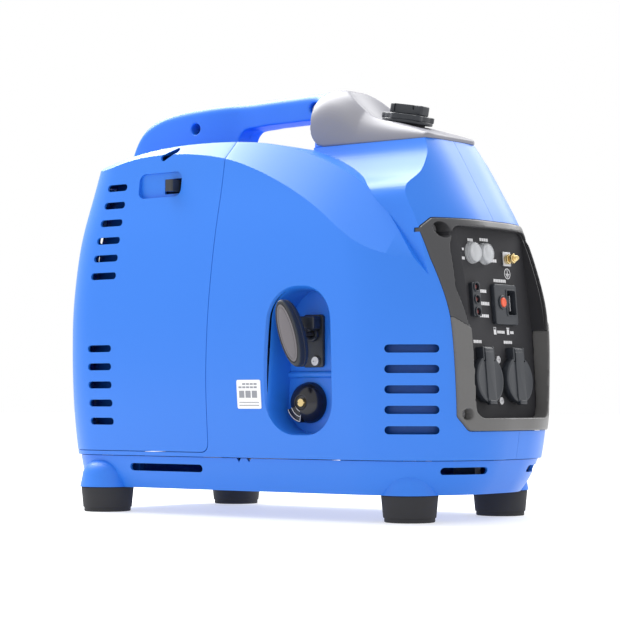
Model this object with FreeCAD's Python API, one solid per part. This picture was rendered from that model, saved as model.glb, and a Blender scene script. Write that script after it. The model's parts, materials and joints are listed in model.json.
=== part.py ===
import FreeCAD, Part
import math
import os

# Portable closed inverter generator.  Millimetres, +Z up, origin on the ground under the
# middle of the housing.  +X is the control panel end, -Y is the recoil starter side.

# ---------------------------------------------------------------- driving dimensions
GROUND = 0.0
FOOT_HEIGHT = 30.0
FOOT_TOP_R = 32.0
FOOT_TIP_R = 28.3
REAR_FOOT_X = -224.5
REAR_FOOT_Y = 122.0
FRONT_FOOT_X = 205.5
FRONT_FOOT_Y = 92.0
FOOT_BOLT_R = 4.0
FOOT_BOLT_CLEARANCE = 0.2
FOOT_HEAD_R = 8.0
FOOT_POCKET_R = 10.0
FOOT_POCKET_DEPTH = 12.0
DOME_HEIGHT = 33.0       # tray's dome over each foot
DOME_R = 22.0
TRAY_SLOT_X = (-174.0, -59.5)
TRAY_NOTCH_X = (-3.0, 12.0)
TRAY_CORNER = (269.0, 72.0)      # slot in the tray's round front corner
TRAY_CORNER_TURN = 62.0

SEAM_Z = 68.0            # joint between base tray and covers
SEAM_GAP = 0.8           # visible gap between neighbouring covers
WALL = 3.0               # moulded cover wall
TRAY_FLOOR = 3.0
FRONT_FLAT_HALF = 20.0   # flat middle of the front face, in plan
REAR_CORNER_R = 60.0
CAP_BASE_Z = 432.0       # joint between the hood and the trim cap

# height, front face x, rear face x, half width
BODY_LEVELS = [
    (66.0, 285.5, -291.0, 139.5),
    (100.0, 290.5, -292.5, 143.5),
    (150.0, 292.5, -292.5, 148.5),
    (200.0, 292.5, -292.5, 150.0),
    (240.0, 289.5, -292.5, 149.0),
    (280.0, 279.5, -291.0, 146.0),
    (335.0, 258.5, -286.0, 139.5),
    (380.0, 233.5, -277.0, 132.0),
    (428.0, 205.5, -265.0, 126.0),
    (460.0, 184.0, -256.5, 122.0),
]
TRAY_LEVELS = [
    (FOOT_HEIGHT, 259.5, -279.0, 127.0),
    (48.0, 272.0, -286.0, 134.5),
    (SEAM_Z, 281.5, -288.5, 137.5),
]
# side view of the arched deck, of the crease between side wall and bevel, and of the
# bevel surface where it is read at two widths
DECK_LINE = [(-330.0, 388.0), (-281.0, 412.0), (-210.5, 428.0), (-147.5, 437.0),
             (-92.5, 440.0), (-37.5, 439.0), (29.5, 431.0), (96.5, 408.0),
             (148.0, 379.0), (199.5, 328.0), (245.0, 271.0), (330.0, 170.0)]
CREASE_LINE = [(-330.0, 372.0, 0.62), (-239.5, 403.0, 0.62), (-182.5, 415.0, 0.72),
               (-130.5, 416.0, 0.85), (-83.5, 412.0, 0.95), (-39.5, 404.0, 1.05),
               (7.5, 389.0, 1.2), (50.5, 372.0, 1.3), (100.5, 350.0, 1.35),
               (145.5, 325.0, 1.35), (189.5, 296.0, 1.25), (230.5, 264.0, 1.1),
               (262.0, 228.0, 1.0), (330.0, 140.0, 1.0)]
CREASE_HALF = 141.0      # half width at which the crease line is read
BEVEL_OUTER = 175.0
BEVEL_INNER = 50.0
# half width of the hood at each height
HOOD_SECTION = [(220.0, 112.0), (300.0, 108.0), (345.0, 104.0), (374.0, 98.0), (388.0, 81.0),
                (404.0, 66.0), (419.0, 55.5), (CAP_BASE_Z, 51.0)]
HOOD_REAR_X = 22.0
# half width of the hood's stern, in plan
HOOD_STERN = [(HOOD_REAR_X, 19.5), (30.0, 37.0), (38.0, 49.0), (52.0, 57.0), (90.0, 67.0),
              (134.0, 88.0), (175.0, 125.0)]

# maintenance door on the starter side and its front seam, which leans forward
DOOR_BOTTOM_Z = 74.0
DOOR_SEAM_X = -49.8
DOOR_SEAM_SLOPE = 0.04
DOOR_CORNER_R = 11.0
REAR_COVER_HALF = 112.0
REAR_COVER_X = -240.0
REAR_COVER_TOP_Z = 400.0
SPINE_HALF = 33.0

SLOT_HEIGHT = 8.5
UPPER_SLOT_TOP_Z = 393.0
UPPER_SLOT_PITCH = 21.6
UPPER_SLOT_COUNT = 6
LOWER_SLOT_TOP_Z = 197.0
LOWER_SLOT_PITCH = 21.9
LOWER_SLOT_COUNT = 5
SLOT_FRONT_X = (-186.0, -190.0)      # front ends of the top and bottom upper slots
SLOT_REAR_X = (-218.5, -231.5)
LOWER_SLOT_X = (-232.0, -193.5)
FRONT_VENT_TOP_Z = 191.0
FRONT_VENT_PITCH = 22.25
FRONT_VENT_COUNT = 5
FRONT_VENT_HEIGHT = 9.0
FRONT_VENT_LENGTH = 60.0
FRONT_VENT_CENTRE = (233.0, 126.5)
FRONT_VENT_TURN = 34.0
LOUVRE_LOW_Z = 140.0     # exhaust louvres of the rear cover
LOUVRE_PITCH = 24.0
LOUVRE_COUNT = 9
LOUVRE_HEIGHT = 8.0
LOUVRE_HALF = 75.0
BAFFLE_WALL = 2.0
BAFFLE_FRONT_X = -172.0
BAFFLE_MIDDLE = 91.0
BAFFLE_TOP_Z = 400.0
BAFFLE_FOOT_Y = (112.0, 121.0)
REAR_BAFFLE_IN = 25.0        # below the outer form
FRONT_BAFFLE_IN = 11.0

FINGER_FACE_Y = -150.0    # side wall's widest face, from which the recess is measured
FINGER_X = (-166.5, -98.5)
FINGER_Z = (377.0, 407.0)
FINGER_DEPTH = 24.0
FINGER_FLOOR_Y = FINGER_FACE_Y + FINGER_DEPTH
FINGER_WALL = 2.5
LATCH_GAP = 0.3
FINGER_R = 9.0

# starter pocket in the side cover
POCKET_TOP_Z = 259.0
POCKET_BOTTOM_Z = 97.0
POCKET_TOP_X = (56.5, 131.5)
POCKET_BOTTOM_X = (44.5, 136.5)
POCKET_TOP_R = 35.0
POCKET_BOTTOM_R = 36.0
POCKET_FLOOR_Y = -108.0
POCKET_WALL = 2.5
ROPE_X = 85.5
ROPE_Z = 210.0
ROPE_R = 2.25
ROPE_HOLE_R = 9.0
GRIP_Y = -148.0
GRIP_LENGTH = 80.0
GRIP_WIDTH = 27.0
GRIP_DEPTH = 23.0
GRIP_TILT = 19.0
KNOB_X = 79.0
KNOB_Z = 132.0
KNOB_R = 23.5
KNOB_DEPTH = 19.0
KNOB_STEM_R = 4.9
KNOB_BAR_TURN = 38.0

# drive line
CRANK_Y = 10.0
PULLEY_R = 35.0
CRANK_Z = ROPE_Z - PULLEY_R
SHAFT_R = 10.0
RUNNING_GAP = 0.05
FREE_GAP = 0.4

EXHAUST_Y = -45.0
EXHAUST_Z = 372.0
EXHAUST_R = 12.0
# rubber mounts under the engine block
ENGINE_MOUNTS = [(-100.0, -55.0), (-100.0, 75.0), (30.0, -55.0), (30.0, 75.0)]

HOSE_R = 5.0
HOSE_ROUTE = [(73.0, -70.0, 316.0), (73.0, -70.0, 285.0), (73.0, -93.5, 250.0),
              (73.0, -93.5, 160.0)]
TANK_FLOOR_Z = 322.0
TANK_HALF = 84.0

# handle spine: x, top z, half width
SPINE_REAR = [(-270.0, 447.0, 29.0), (-264.0, 461.0, 31.5), (-251.0, 476.5, SPINE_HALF),
              (-229.5, 489.0, SPINE_HALF), (-195.0, 496.5, SPINE_HALF),
              (-158.0, 499.0, 32.0), (-128.0, 500.0, 26.0), (-104.0, 500.6, 18.4)]
GRIP_LINE = [(-130.0, 499.8, 17.0), (-95.0, 500.8, 18.0), (-41.5, 502.0, 18.0),
             (8.5, 502.5, 18.0), (34.0, 502.5, 20.0)]
# x, half width, top z
SPINE_FRONT = [(21.5, 18.5, 502.5), (26.0, 26.0, 502.5), (32.0, 40.0, 502.5),
               (40.0, 49.5, 502.5), (55.0, 51.5, 502.5)]
GRIP_UNDER_Z = 469.5
SPINE_FOOT_Z = 395.0
SPINE_EDGE_R = 12.0
SPINE_WALL = 4.0
HANDLE_BOLTS = [(-162.5, 472.0), (13.5, 485.0)]
HANDLE_BOLT_R = 3.0
HANDLE_BORE_R = 7.0

# trim cap on top of the hood: x, half width, top z
TRIM_SECTIONS = [(24.0, 48.0, 494.0), (40.0, 50.5, 501.5), (55.0, 51.5, 503.0),
                 (86.5, 51.5, 492.0), (110.0, 51.5, 474.0), (146.0, 51.5, 456.0),
                 (183.5, 51.5, 444.0), (212.0, 51.5, 434.0)]
TRIM_HEEL_X = 32.0
NOSE_R = 40.0
TRIM_HEEL_R = 24.0
TRIM_TIP_X = 203.5
TRIM_TIP_R = 19.0
CAP_X = 137.5
CAP_R = 29.0
CAP_TILT = 10.0
CAP_SEAT_Z = 455.0
NECK_R = 21.0
NECK_WALL = 2.0

# control panel: the plate is flat and leans back
PANEL_X = 257.4
PANEL_Z = 220.0
PANEL_LEAN = 5.0
PANEL_PLATE = 2.5
# half width and height of the bezel's opening, from the top down
OPENING = [(69.0, 328.0), (75.5, 262.0), (79.5, 214.0), (75.0, 135.0), (72.0, 115.0)]
OPENING_R = 13.0
PLATE_MARGIN = 3.0
BEZEL_PROUD = 1.8
BEZEL_DEPTH = 7.0
BEZEL_GAP = 0.6
BEZEL_OUTLINE = [(0.0, 339.0), (91.0, 336.5), (98.5, 326.0), (90.5, 279.0), (101.0, 226.0),
                 (91.5, 116.0), (78.0, 101.0), (0.0, 98.0)]
UPPER_SCREW = (85.0, 323.0)
LOWER_SCREW = (82.5, 119.5)

OUTLET_Y = 31.0
OUTLET_Z = -63.0         # below the middle of the panel
OUTLET_R = 27.0
LID_HINGE_UP = 33.0
LID_OUT = 7.5            # lid's hinge height in front of the plate
LID_PIN_R = 1.6
ROCKER_Y = (-36.0, -10.5)
ROCKER_Z = 80.0
ROCKER_TILT = 8.0
LAMP_Z = (13.0, 27.0, 41.0)

V = FreeCAD.Vector
X_AXIS = V(1, 0, 0)
Y_AXIS = V(0, 1, 0)
Z_AXIS = V(0, 0, 1)


# ---------------------------------------------------------------- small helpers
def box(x0, x1, y0, y1, z0, z1):
    """Box between two corners."""
    return Part.makeBox(x1 - x0, y1 - y0, z1 - z0, V(x0, y0, z0))


def rod(radius, start, end):
    """Round bar from one point to another."""
    start = V(*start)
    run = V(*end) - start
    return Part.makeCylinder(radius, run.Length, start, run)


def tube(outer, inner, start, end):
    """Round pipe from one point to another."""
    return rod(outer, start, end).cut(rod(inner, start, end))


def join(shapes):
    """Several shapes fused, with leftover seams removed."""
    shapes = list(shapes)
    if len(shapes) == 1:
        return shapes[0]
    return shapes[0].multiFuse(shapes[1:]).removeSplitter()


def group(shapes):
    """Separate solids that share one node."""
    return Part.makeCompound(list(shapes))


def largest(shape):
    """The biggest solid of a shape, without the slivers that a cut leaves."""
    return max(shape.Solids, key=lambda solid: solid.Volume)


def mirrored(shape):
    """The same shape on the other side of the middle plane."""
    return shape.mirror(V(0, 0, 0), Y_AXIS)


def turned(shape, degrees, about, axis):
    """Copy of a shape turned about an axis through a point."""
    result = shape.copy()
    result.rotate(V(*about), axis, degrees)
    return result


def plate_xz(points, y0, y1):
    """Polygon in the side view, pulled between two y values."""
    wire = Part.makePolygon([V(x, y0, z) for x, z in points] + [V(points[0][0], y0, points[0][1])])
    return Part.Face(wire).extrude(V(0, y1 - y0, 0))


def plate_yz(points, x0, x1):
    """Polygon in the front view, pulled between two x values."""
    wire = Part.makePolygon([V(x0, y, z) for y, z in points] + [V(x0, points[0][0], points[0][1])])
    return Part.Face(wire).extrude(V(x1 - x0, 0, 0))


def round_edges(shape, radius, axis, keep=None):
    """Fillet every straight edge that runs along an axis, or those that keep() accepts."""
    edges = []
    for edge in shape.Edges:
        if not isinstance(edge.Curve, (Part.Line, Part.LineSegment)):
            continue
        if abs(abs(edge.tangentAt(edge.FirstParameter).dot(axis)) - 1.0) > 1e-6:
            continue
        if keep is None or keep(edge.CenterOfMass):
            edges.append(edge)
    return shape.makeFillet(radius, edges)


def slot_y(x0, x1, z, height, y0, y1):
    """Slot with round ends, seen from the side."""
    half = height / 2
    bar = box(x0 + half, x1 - half, y0, y1, z - half, z + half)
    ends = [rod(half, (x, y0, z), (x, y1, z)) for x in (x0 + half, x1 - half)]
    return join([bar] + ends)


def smooth_edge(points):
    """Smooth curve through points."""
    curve = Part.BSplineCurve()
    curve.interpolate(points)
    return curve.toShape()


# ---------------------------------------------------------------- outer form
def level_wire(z, front, rear, half, rear_r):
    """Plan outline at one height: a long box with two wide round front corners."""
    front_r = half - FRONT_FLAT_HALF
    kf = front_r * (1 - math.sqrt(0.5))
    kr = rear_r * (1 - math.sqrt(0.5))

    def at(x, y):
        return V(x, y, z)
    return Part.Wire([
        Part.LineSegment(at(rear + rear_r, -half), at(front - front_r, -half)).toShape(),
        Part.Arc(at(front - front_r, -half), at(front - kf, -half + kf),
                 at(front, -half + front_r)).toShape(),
        Part.LineSegment(at(front, -half + front_r), at(front, half - front_r)).toShape(),
        Part.Arc(at(front, half - front_r), at(front - kf, half - kf),
                 at(front - front_r, half)).toShape(),
        Part.LineSegment(at(front - front_r, half), at(rear + rear_r, half)).toShape(),
        Part.Arc(at(rear + rear_r, half), at(rear + kr, half - kr),
                 at(rear, half - rear_r)).toShape(),
        Part.LineSegment(at(rear, half - rear_r), at(rear, -half + rear_r)).toShape(),
        Part.Arc(at(rear, -half + rear_r), at(rear + kr, -half + kr),
                 at(rear + rear_r, -half)).toShape()])


def level_loft(levels, grow):
    """Solid through plan outlines, grown outwards by a distance."""
    wires = [level_wire(z, front + grow, rear - grow, half + grow, REAR_CORNER_R + grow)
             for z, front, rear, half in levels]
    return Part.makeLoft(wires, True, False)


def above_line(points, y0, y1):
    """Everything above a smooth line in the side view."""
    edge = smooth_edge([V(x, y0, z) for x, z in points])
    first = V(points[0][0], y0, points[0][1])
    last = V(points[-1][0], y0, points[-1][1])
    top = 600.0
    rim = Part.makePolygon([last, V(last.x, y0, top), V(first.x, y0, top), first])
    return Part.Face(Part.Wire([edge] + rim.Edges)).extrude(V(0, y1 - y0, 0))


def above_bevel(grow):
    """Everything above the slope between the side wall and the deck, on the -Y side."""
    top = 620.0
    wires = []
    for half in (BEVEL_OUTER, BEVEL_INNER):
        pts = [V(x, -half, z + slope * (CREASE_HALF - half) + grow * 1.35)
               for x, z, slope in CREASE_LINE]
        rim = Part.makePolygon([pts[-1], V(pts[-1].x, -half, top), V(pts[0].x, -half, top), pts[0]])
        wires.append(Part.Wire([smooth_edge(pts)] + rim.Edges))
    return Part.makeLoft(wires, True, True)


def hood_prism(grow):
    """Flared section of the hood, pulled along X."""
    side = [(half + grow, z) for z, half in HOOD_SECTION]
    side[-1] = (side[-1][0], CAP_BASE_Z + grow)
    x0 = HOOD_REAR_X - grow
    right = smooth_edge([V(x0, y, z) for y, z in side])
    left = smooth_edge([V(x0, -y, z) for y, z in side])
    low = Part.LineSegment(V(x0, -side[0][0], side[0][1]), V(x0, side[0][0], side[0][1])).toShape()
    high = Part.LineSegment(V(x0, -side[-1][0], side[-1][1]),
                            V(x0, side[-1][0], side[-1][1])).toShape()
    wire = Part.Wire(Part.__sortEdges__([low, right, high, left]))
    flared = Part.Face(wire).extrude(V(320.0, 0, 0))
    return flared.common(stern_prism(grow))


def stern_prism(grow):
    """Plan outline of the hood, which narrows to the handle's post at its rear."""
    z0 = HOOD_SECTION[0][1] - 10
    x0, x1 = HOOD_REAR_X - grow, HOOD_STERN[-1][0]
    side = [(x - grow, half + grow * 0.6) for x, half in HOOD_STERN]
    right = smooth_edge([V(x, -half, z0) for x, half in side])
    left = smooth_edge([V(x, half, z0) for x, half in side])
    stern = Part.LineSegment(V(x0, -side[0][1], z0), V(x0, side[0][1], z0)).toShape()
    x2, y2 = side[-1]
    bow = Part.makePolygon([V(x2, -y2, z0), V(x1 + 200, -y2, z0), V(x1 + 200, y2, z0), V(x2, y2, z0)])
    wire = Part.Wire(Part.__sortEdges__([stern, right] + bow.Edges + [left]))
    return Part.Face(wire).extrude(V(0, 0, 330.0))


FORMS = {}


def body_form(grow):
    """Outer form of all covers above the seam, offset by a distance; each is made once."""
    if grow not in FORMS:
        FORMS[grow] = make_body_form(grow)
    return FORMS[grow]


def make_body_form(grow):
    """Build the outer form: the arched body with its bevels, and the hood on it."""
    form = level_loft(BODY_LEVELS, grow)
    slope = above_bevel(grow)
    deck = above_line([(x, z + grow) for x, z in DECK_LINE], -200.0, 200.0)
    low = form.cut(deck).cut(slope).cut(mirrored(slope))
    hood = form.common(hood_prism(grow))
    return low.fuse(hood)


# ---------------------------------------------------------------- handle and trim cap
def arch_wire(x, half, bottom, top, radius):
    """Upright section across the spine with rounded corners."""
    y0, y1 = -half, half
    k = radius * (1 - math.sqrt(0.5))

    def at(y, z):
        return V(x, y, z)
    return Part.Wire([
        Part.LineSegment(at(y0 + radius, bottom), at(y1 - radius, bottom)).toShape(),
        Part.Arc(at(y1 - radius, bottom), at(y1 - k, bottom + k), at(y1, bottom + radius)).toShape(),
        Part.LineSegment(at(y1, bottom + radius), at(y1, top - radius)).toShape(),
        Part.Arc(at(y1, top - radius), at(y1 - k, top - k), at(y1 - radius, top)).toShape(),
        Part.LineSegment(at(y1 - radius, top), at(y0 + radius, top)).toShape(),
        Part.Arc(at(y0 + radius, top), at(y0 + k, top - k), at(y0, top - radius)).toShape(),
        Part.LineSegment(at(y0, top - radius), at(y0, bottom + radius)).toShape(),
        Part.Arc(at(y0, bottom + radius), at(y0 + k, bottom + k), at(y0 + radius, bottom)).toShape()])


def spine_part(stations, bottom, inset, radius):
    """Loft along X of the spine's sections, shrunk all round by an inset."""
    wires = [arch_wire(x, half - inset, bottom + inset, top - inset, radius)
             for x, top, half in stations]
    return Part.makeLoft(wires, True, False)


def trim_nose(inset):
    """Domed sections of the trim cap along X, shrunk by an inset."""
    return Part.makeLoft([nose_wire(x, half - inset, top - inset)
                          for x, half, top in dense(TRIM_SECTIONS, 18)], True, True)


def dense(stations, count):
    """More stations along the smooth curve through a few."""
    curve = Part.BSplineCurve()
    curve.interpolate([V(*station) for station in stations])
    return [tuple(point) for point in curve.discretize(count)]


def trim_form():
    """Outer form of the trim cap: domed nose with a round heel and tip."""
    heel = box(TRIM_HEEL_X, 300, -90, 90, CAP_BASE_Z, 540)
    heel = round_edges(heel, TRIM_HEEL_R, Y_AXIS, lambda c: c.x < 100 and c.z < 500)
    outside = box(0, 300, -85, 85, CAP_BASE_Z - 50, 530).cut(heel)
    half = TRIM_SECTIONS[-1][1] + TRIM_TIP_R / 4
    beyond = box(TRIM_TIP_X - TRIM_TIP_R, 300, -90, 90, CAP_BASE_Z - 5, 540)
    kept = box(TRIM_TIP_X - 2 * TRIM_TIP_R, TRIM_TIP_X, -half, half, CAP_BASE_Z - 10, 545)
    kept = round_edges(kept, TRIM_TIP_R, Z_AXIS, lambda c: c.x > TRIM_TIP_X - 1)
    return trim_nose(0.0).cut(outside).cut(beyond.cut(kept))


def trim_hollow():
    """Space under the trim cap, between its heel and its tip."""
    x0 = TRIM_HEEL_X + TRIM_HEEL_R
    x1 = TRIM_TIP_X - TRIM_TIP_R - 4
    return trim_nose(WALL).common(box(x0, x1, -90, 90, CAP_BASE_Z - 1, 540))


def nose_wire(x, half, top):
    """Section above the hood's top, drawn across X: upright sides and a wide round crown."""
    height = top - CAP_BASE_Z
    r = min(NOSE_R, height * 0.85, half - 4.0)
    k = r * (1 - math.sqrt(0.5))

    def at(y, z):
        return V(x, y, z)
    return Part.Wire([
        Part.LineSegment(at(-half, CAP_BASE_Z), at(half, CAP_BASE_Z)).toShape(),
        Part.LineSegment(at(half, CAP_BASE_Z), at(half, top - r)).toShape(),
        Part.Arc(at(half, top - r), at(half - k, top - k), at(half - r, top)).toShape(),
        Part.LineSegment(at(half - r, top), at(r - half, top)).toShape(),
        Part.Arc(at(r - half, top), at(k - half, top - k), at(-half, top - r)).toShape(),
        Part.LineSegment(at(-half, top - r), at(-half, CAP_BASE_Z)).toShape()])


def on_cap_axis(shape):
    """Lean a shape drawn on a vertical axis forward with the fuel cap."""
    return turned(shape, CAP_TILT, (CAP_X, 0, CAP_SEAT_Z), Y_AXIS)


def trim_cap():
    """Grey moulded cap over the tank, with a dished seat for the fuel cap."""
    dish = Part.makeCone(34.0, 52.0, 40.0, V(CAP_X, 0, CAP_SEAT_Z + 1.5), Z_AXIS)
    neck_hole = rod(NECK_R + 1.0, (CAP_X, 0, CAP_SEAT_Z - 40), (CAP_X, 0, CAP_SEAT_Z + 20))
    shell = trim_form().cut(on_cap_axis(dish)).cut(on_cap_axis(neck_hole))
    hollow_cut = trim_hollow()
    seat = on_cap_axis(Part.makeCone(37.0, 60.0, 52.0, V(CAP_X, 0, CAP_SEAT_Z - WALL), Z_AXIS))
    rim = hollow_cut.cut(seat).cut(on_cap_axis(rod(NECK_R + 4.0, (CAP_X, 0, CAP_SEAT_Z - 60),
                                                   (CAP_X, 0, CAP_SEAT_Z + 40))))
    return shell.cut(rim)


def spine():
    """Handle halves, bolted together on the middle plane."""
    def solid(inset):
        radius = SPINE_EDGE_R - inset
        post = Part.makeLoft([nose_wire(x, half - inset, top - inset)
                              for x, half, top in dense(SPINE_FRONT, 9)], True, True)
        return [spine_part(SPINE_REAR, SPINE_FOOT_Z, inset, radius),
                spine_part(GRIP_LINE, GRIP_UNDER_Z, inset, radius), post]
    form = join(solid(0.0)).cut(body_form(0.0)).cut(trim_form())
    hollow = solid(SPINE_WALL)[0].common(box(-270, -120, -60, 60, 447, 520))
    bosses = [rod(HANDLE_BORE_R + 3, (x, -60, z), (x, 60, z)) for x, z in HANDLE_BOLTS]
    body = form.cut(hollow).fuse(join(bosses).common(form))
    for x, z in HANDLE_BOLTS:
        body = body.cut(rod(HANDLE_BORE_R, (x, -80, z), (x, -8, z)))
        body = body.cut(rod(HANDLE_BORE_R, (x, 8, z), (x, 80, z)))
        body = body.cut(rod(HANDLE_BOLT_R + 0.1, (x, -60, z), (x, 60, z)))
    return body


def handle_bolt(x, z):
    """Socket screw across the two halves, with its nut."""
    shank = rod(HANDLE_BOLT_R, (x, -8, z), (x, 12, z))
    head = tube(5.0, 2.4, (x, -13, z), (x, -8, z))
    core = rod(5.0, (x, -10, z), (x, -8, z))
    nut = rod(5.2, (x, 8, z), (x, 12, z))
    return join([shank, head, core, nut])


# ---------------------------------------------------------------- covers
def pocket_outline(grow):
    """Points of the starter pocket in the side view."""
    return [(POCKET_BOTTOM_X[0] - grow, POCKET_BOTTOM_Z - grow),
            (POCKET_BOTTOM_X[1] + grow, POCKET_BOTTOM_Z - grow),
            (POCKET_TOP_X[1] + grow, POCKET_TOP_Z + grow),
            (POCKET_TOP_X[0] - grow, POCKET_TOP_Z + grow)]


def pocket_prism(grow, y0, y1):
    """Rounded prism of the starter pocket."""
    middle = (POCKET_TOP_Z + POCKET_BOTTOM_Z) / 2
    prism = plate_xz(pocket_outline(grow), y0, y1)
    prism = round_edges(prism, POCKET_TOP_R + grow, Y_AXIS, lambda c: c.z > middle)
    return round_edges(prism, POCKET_BOTTOM_R + grow, Y_AXIS, lambda c: c.z < middle)


def pocket_mouth():
    """Soft lip of the pocket: the opening widens in steps towards the wall's face."""
    steps = [(8.5, -152.0), (5.0, -147.6), (2.6, -144.4), (1.0, -140.0), (0.0, -134.0)]
    wires = []
    for grow, y in steps:
        prism = pocket_prism(grow, y, y + 1.0)
        face = [f for f in prism.Faces if abs(f.CenterOfMass.y - y) < 1e-3][0]
        wires.append(face.OuterWire)
    return Part.makeLoft(wires, True, False)


def side_slots():
    """Louvre slots of one rear side, on -Y."""
    cuts = []
    for i in range(UPPER_SLOT_COUNT):
        t = i / (UPPER_SLOT_COUNT - 1)
        z = UPPER_SLOT_TOP_Z - UPPER_SLOT_PITCH * i
        x0 = SLOT_REAR_X[0] + (SLOT_REAR_X[1] - SLOT_REAR_X[0]) * t
        x1 = SLOT_FRONT_X[0] + (SLOT_FRONT_X[1] - SLOT_FRONT_X[0]) * t
        cuts.append(slot_y(x0, x1, z, SLOT_HEIGHT, -170, -120))
    for i in range(LOWER_SLOT_COUNT):
        z = LOWER_SLOT_TOP_Z - LOWER_SLOT_PITCH * i
        cuts.append(slot_y(*LOWER_SLOT_X, z, SLOT_HEIGHT, -170, -120))
    return group(cuts)


def corner_slots():
    """Louvre slots on the round front corner, on -Y."""
    cx, cy = FRONT_VENT_CENTRE
    cuts = []
    for i in range(FRONT_VENT_COUNT):
        z = FRONT_VENT_TOP_Z - FRONT_VENT_PITCH * i
        half = FRONT_VENT_LENGTH / 2
        slot = slot_y(cx - half, cx + half, z, FRONT_VENT_HEIGHT, -cy - 30, -cy + 22)
        cuts.append(turned(slot, FRONT_VENT_TURN, (cx, -cy, z), Z_AXIS))
    return group(cuts)


def door_region(gap):
    """Space of the maintenance door: seam, bottom edge and top, on the -Y side."""
    def seam(z):
        return DOOR_SEAM_X + DOOR_SEAM_SLOPE * z + gap
    z0 = DOOR_BOTTOM_Z - gap
    region = plate_xz([(-400, z0), (seam(z0), z0), (seam(470), 470), (-400, 470)],
                      -200, -SPINE_HALF + gap)
    region = round_edges(region, DOOR_CORNER_R, Y_AXIS, lambda c: c.z < 100 and c.x > -100)
    rear = box(-400, REAR_COVER_X, -REAR_COVER_HALF + gap, 0, 0, REAR_COVER_TOP_Z - gap)
    return region.cut(rear)


def rear_region(gap):
    """Space of the rear cover: the louvred face and the saddle under the handle."""
    face = box(-400, REAR_COVER_X, -REAR_COVER_HALF + gap, REAR_COVER_HALF - gap,
               DOOR_BOTTOM_Z, REAR_COVER_TOP_Z)
    saddle = box(-400, DOOR_SEAM_X + 12, -SPINE_HALF + gap, SPINE_HALF - gap,
                 REAR_COVER_TOP_Z - 40, 470)
    return join([face, saddle])


def finger_pocket(grow, y1):
    """Finger recess near the door's upper edge."""
    prism = box(FINGER_X[0] - grow, FINGER_X[1] + grow, -180, y1,
                FINGER_Z[0] - grow, FINGER_Z[1] + grow)
    return round_edges(prism, FINGER_R, Y_AXIS)


def bezel_prism(grow, x0, x1):
    """Outline of the control panel's bezel, seen from the front."""
    right = [(y, z) for y, z in BEZEL_OUTLINE[1:-1]]
    left = [(-y, z) for y, z in reversed(right)]
    prism = plate_yz([BEZEL_OUTLINE[0]] + right + [BEZEL_OUTLINE[-1]] + left, x0, x1)
    prism = round_edges(prism, 7.0, X_AXIS, lambda c: abs(c.y) > 70)
    if grow == 0.0:
        return prism
    scale_y = 1 + grow / 100.0
    scale_z = 1 + grow / 120.0
    matrix = FreeCAD.Matrix()
    matrix.move(V(0, 0, -PANEL_Z))
    matrix.scale(1, scale_y, scale_z)
    matrix.move(V(0, 0, PANEL_Z))
    return prism.transformGeometry(matrix)


def behind_panel():
    """Half space behind the panel plate's front face."""
    slab = box(-400, 0, -200, 200, -300, 300)
    return on_panel(slab)


def on_panel(shape):
    """Move a shape drawn with x out of the plate, y across and z up to its place."""
    result = turned(shape, -PANEL_LEAN, (0, 0, 0), Y_AXIS)
    result.translate(V(PANEL_X, 0, PANEL_Z))
    return result


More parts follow.
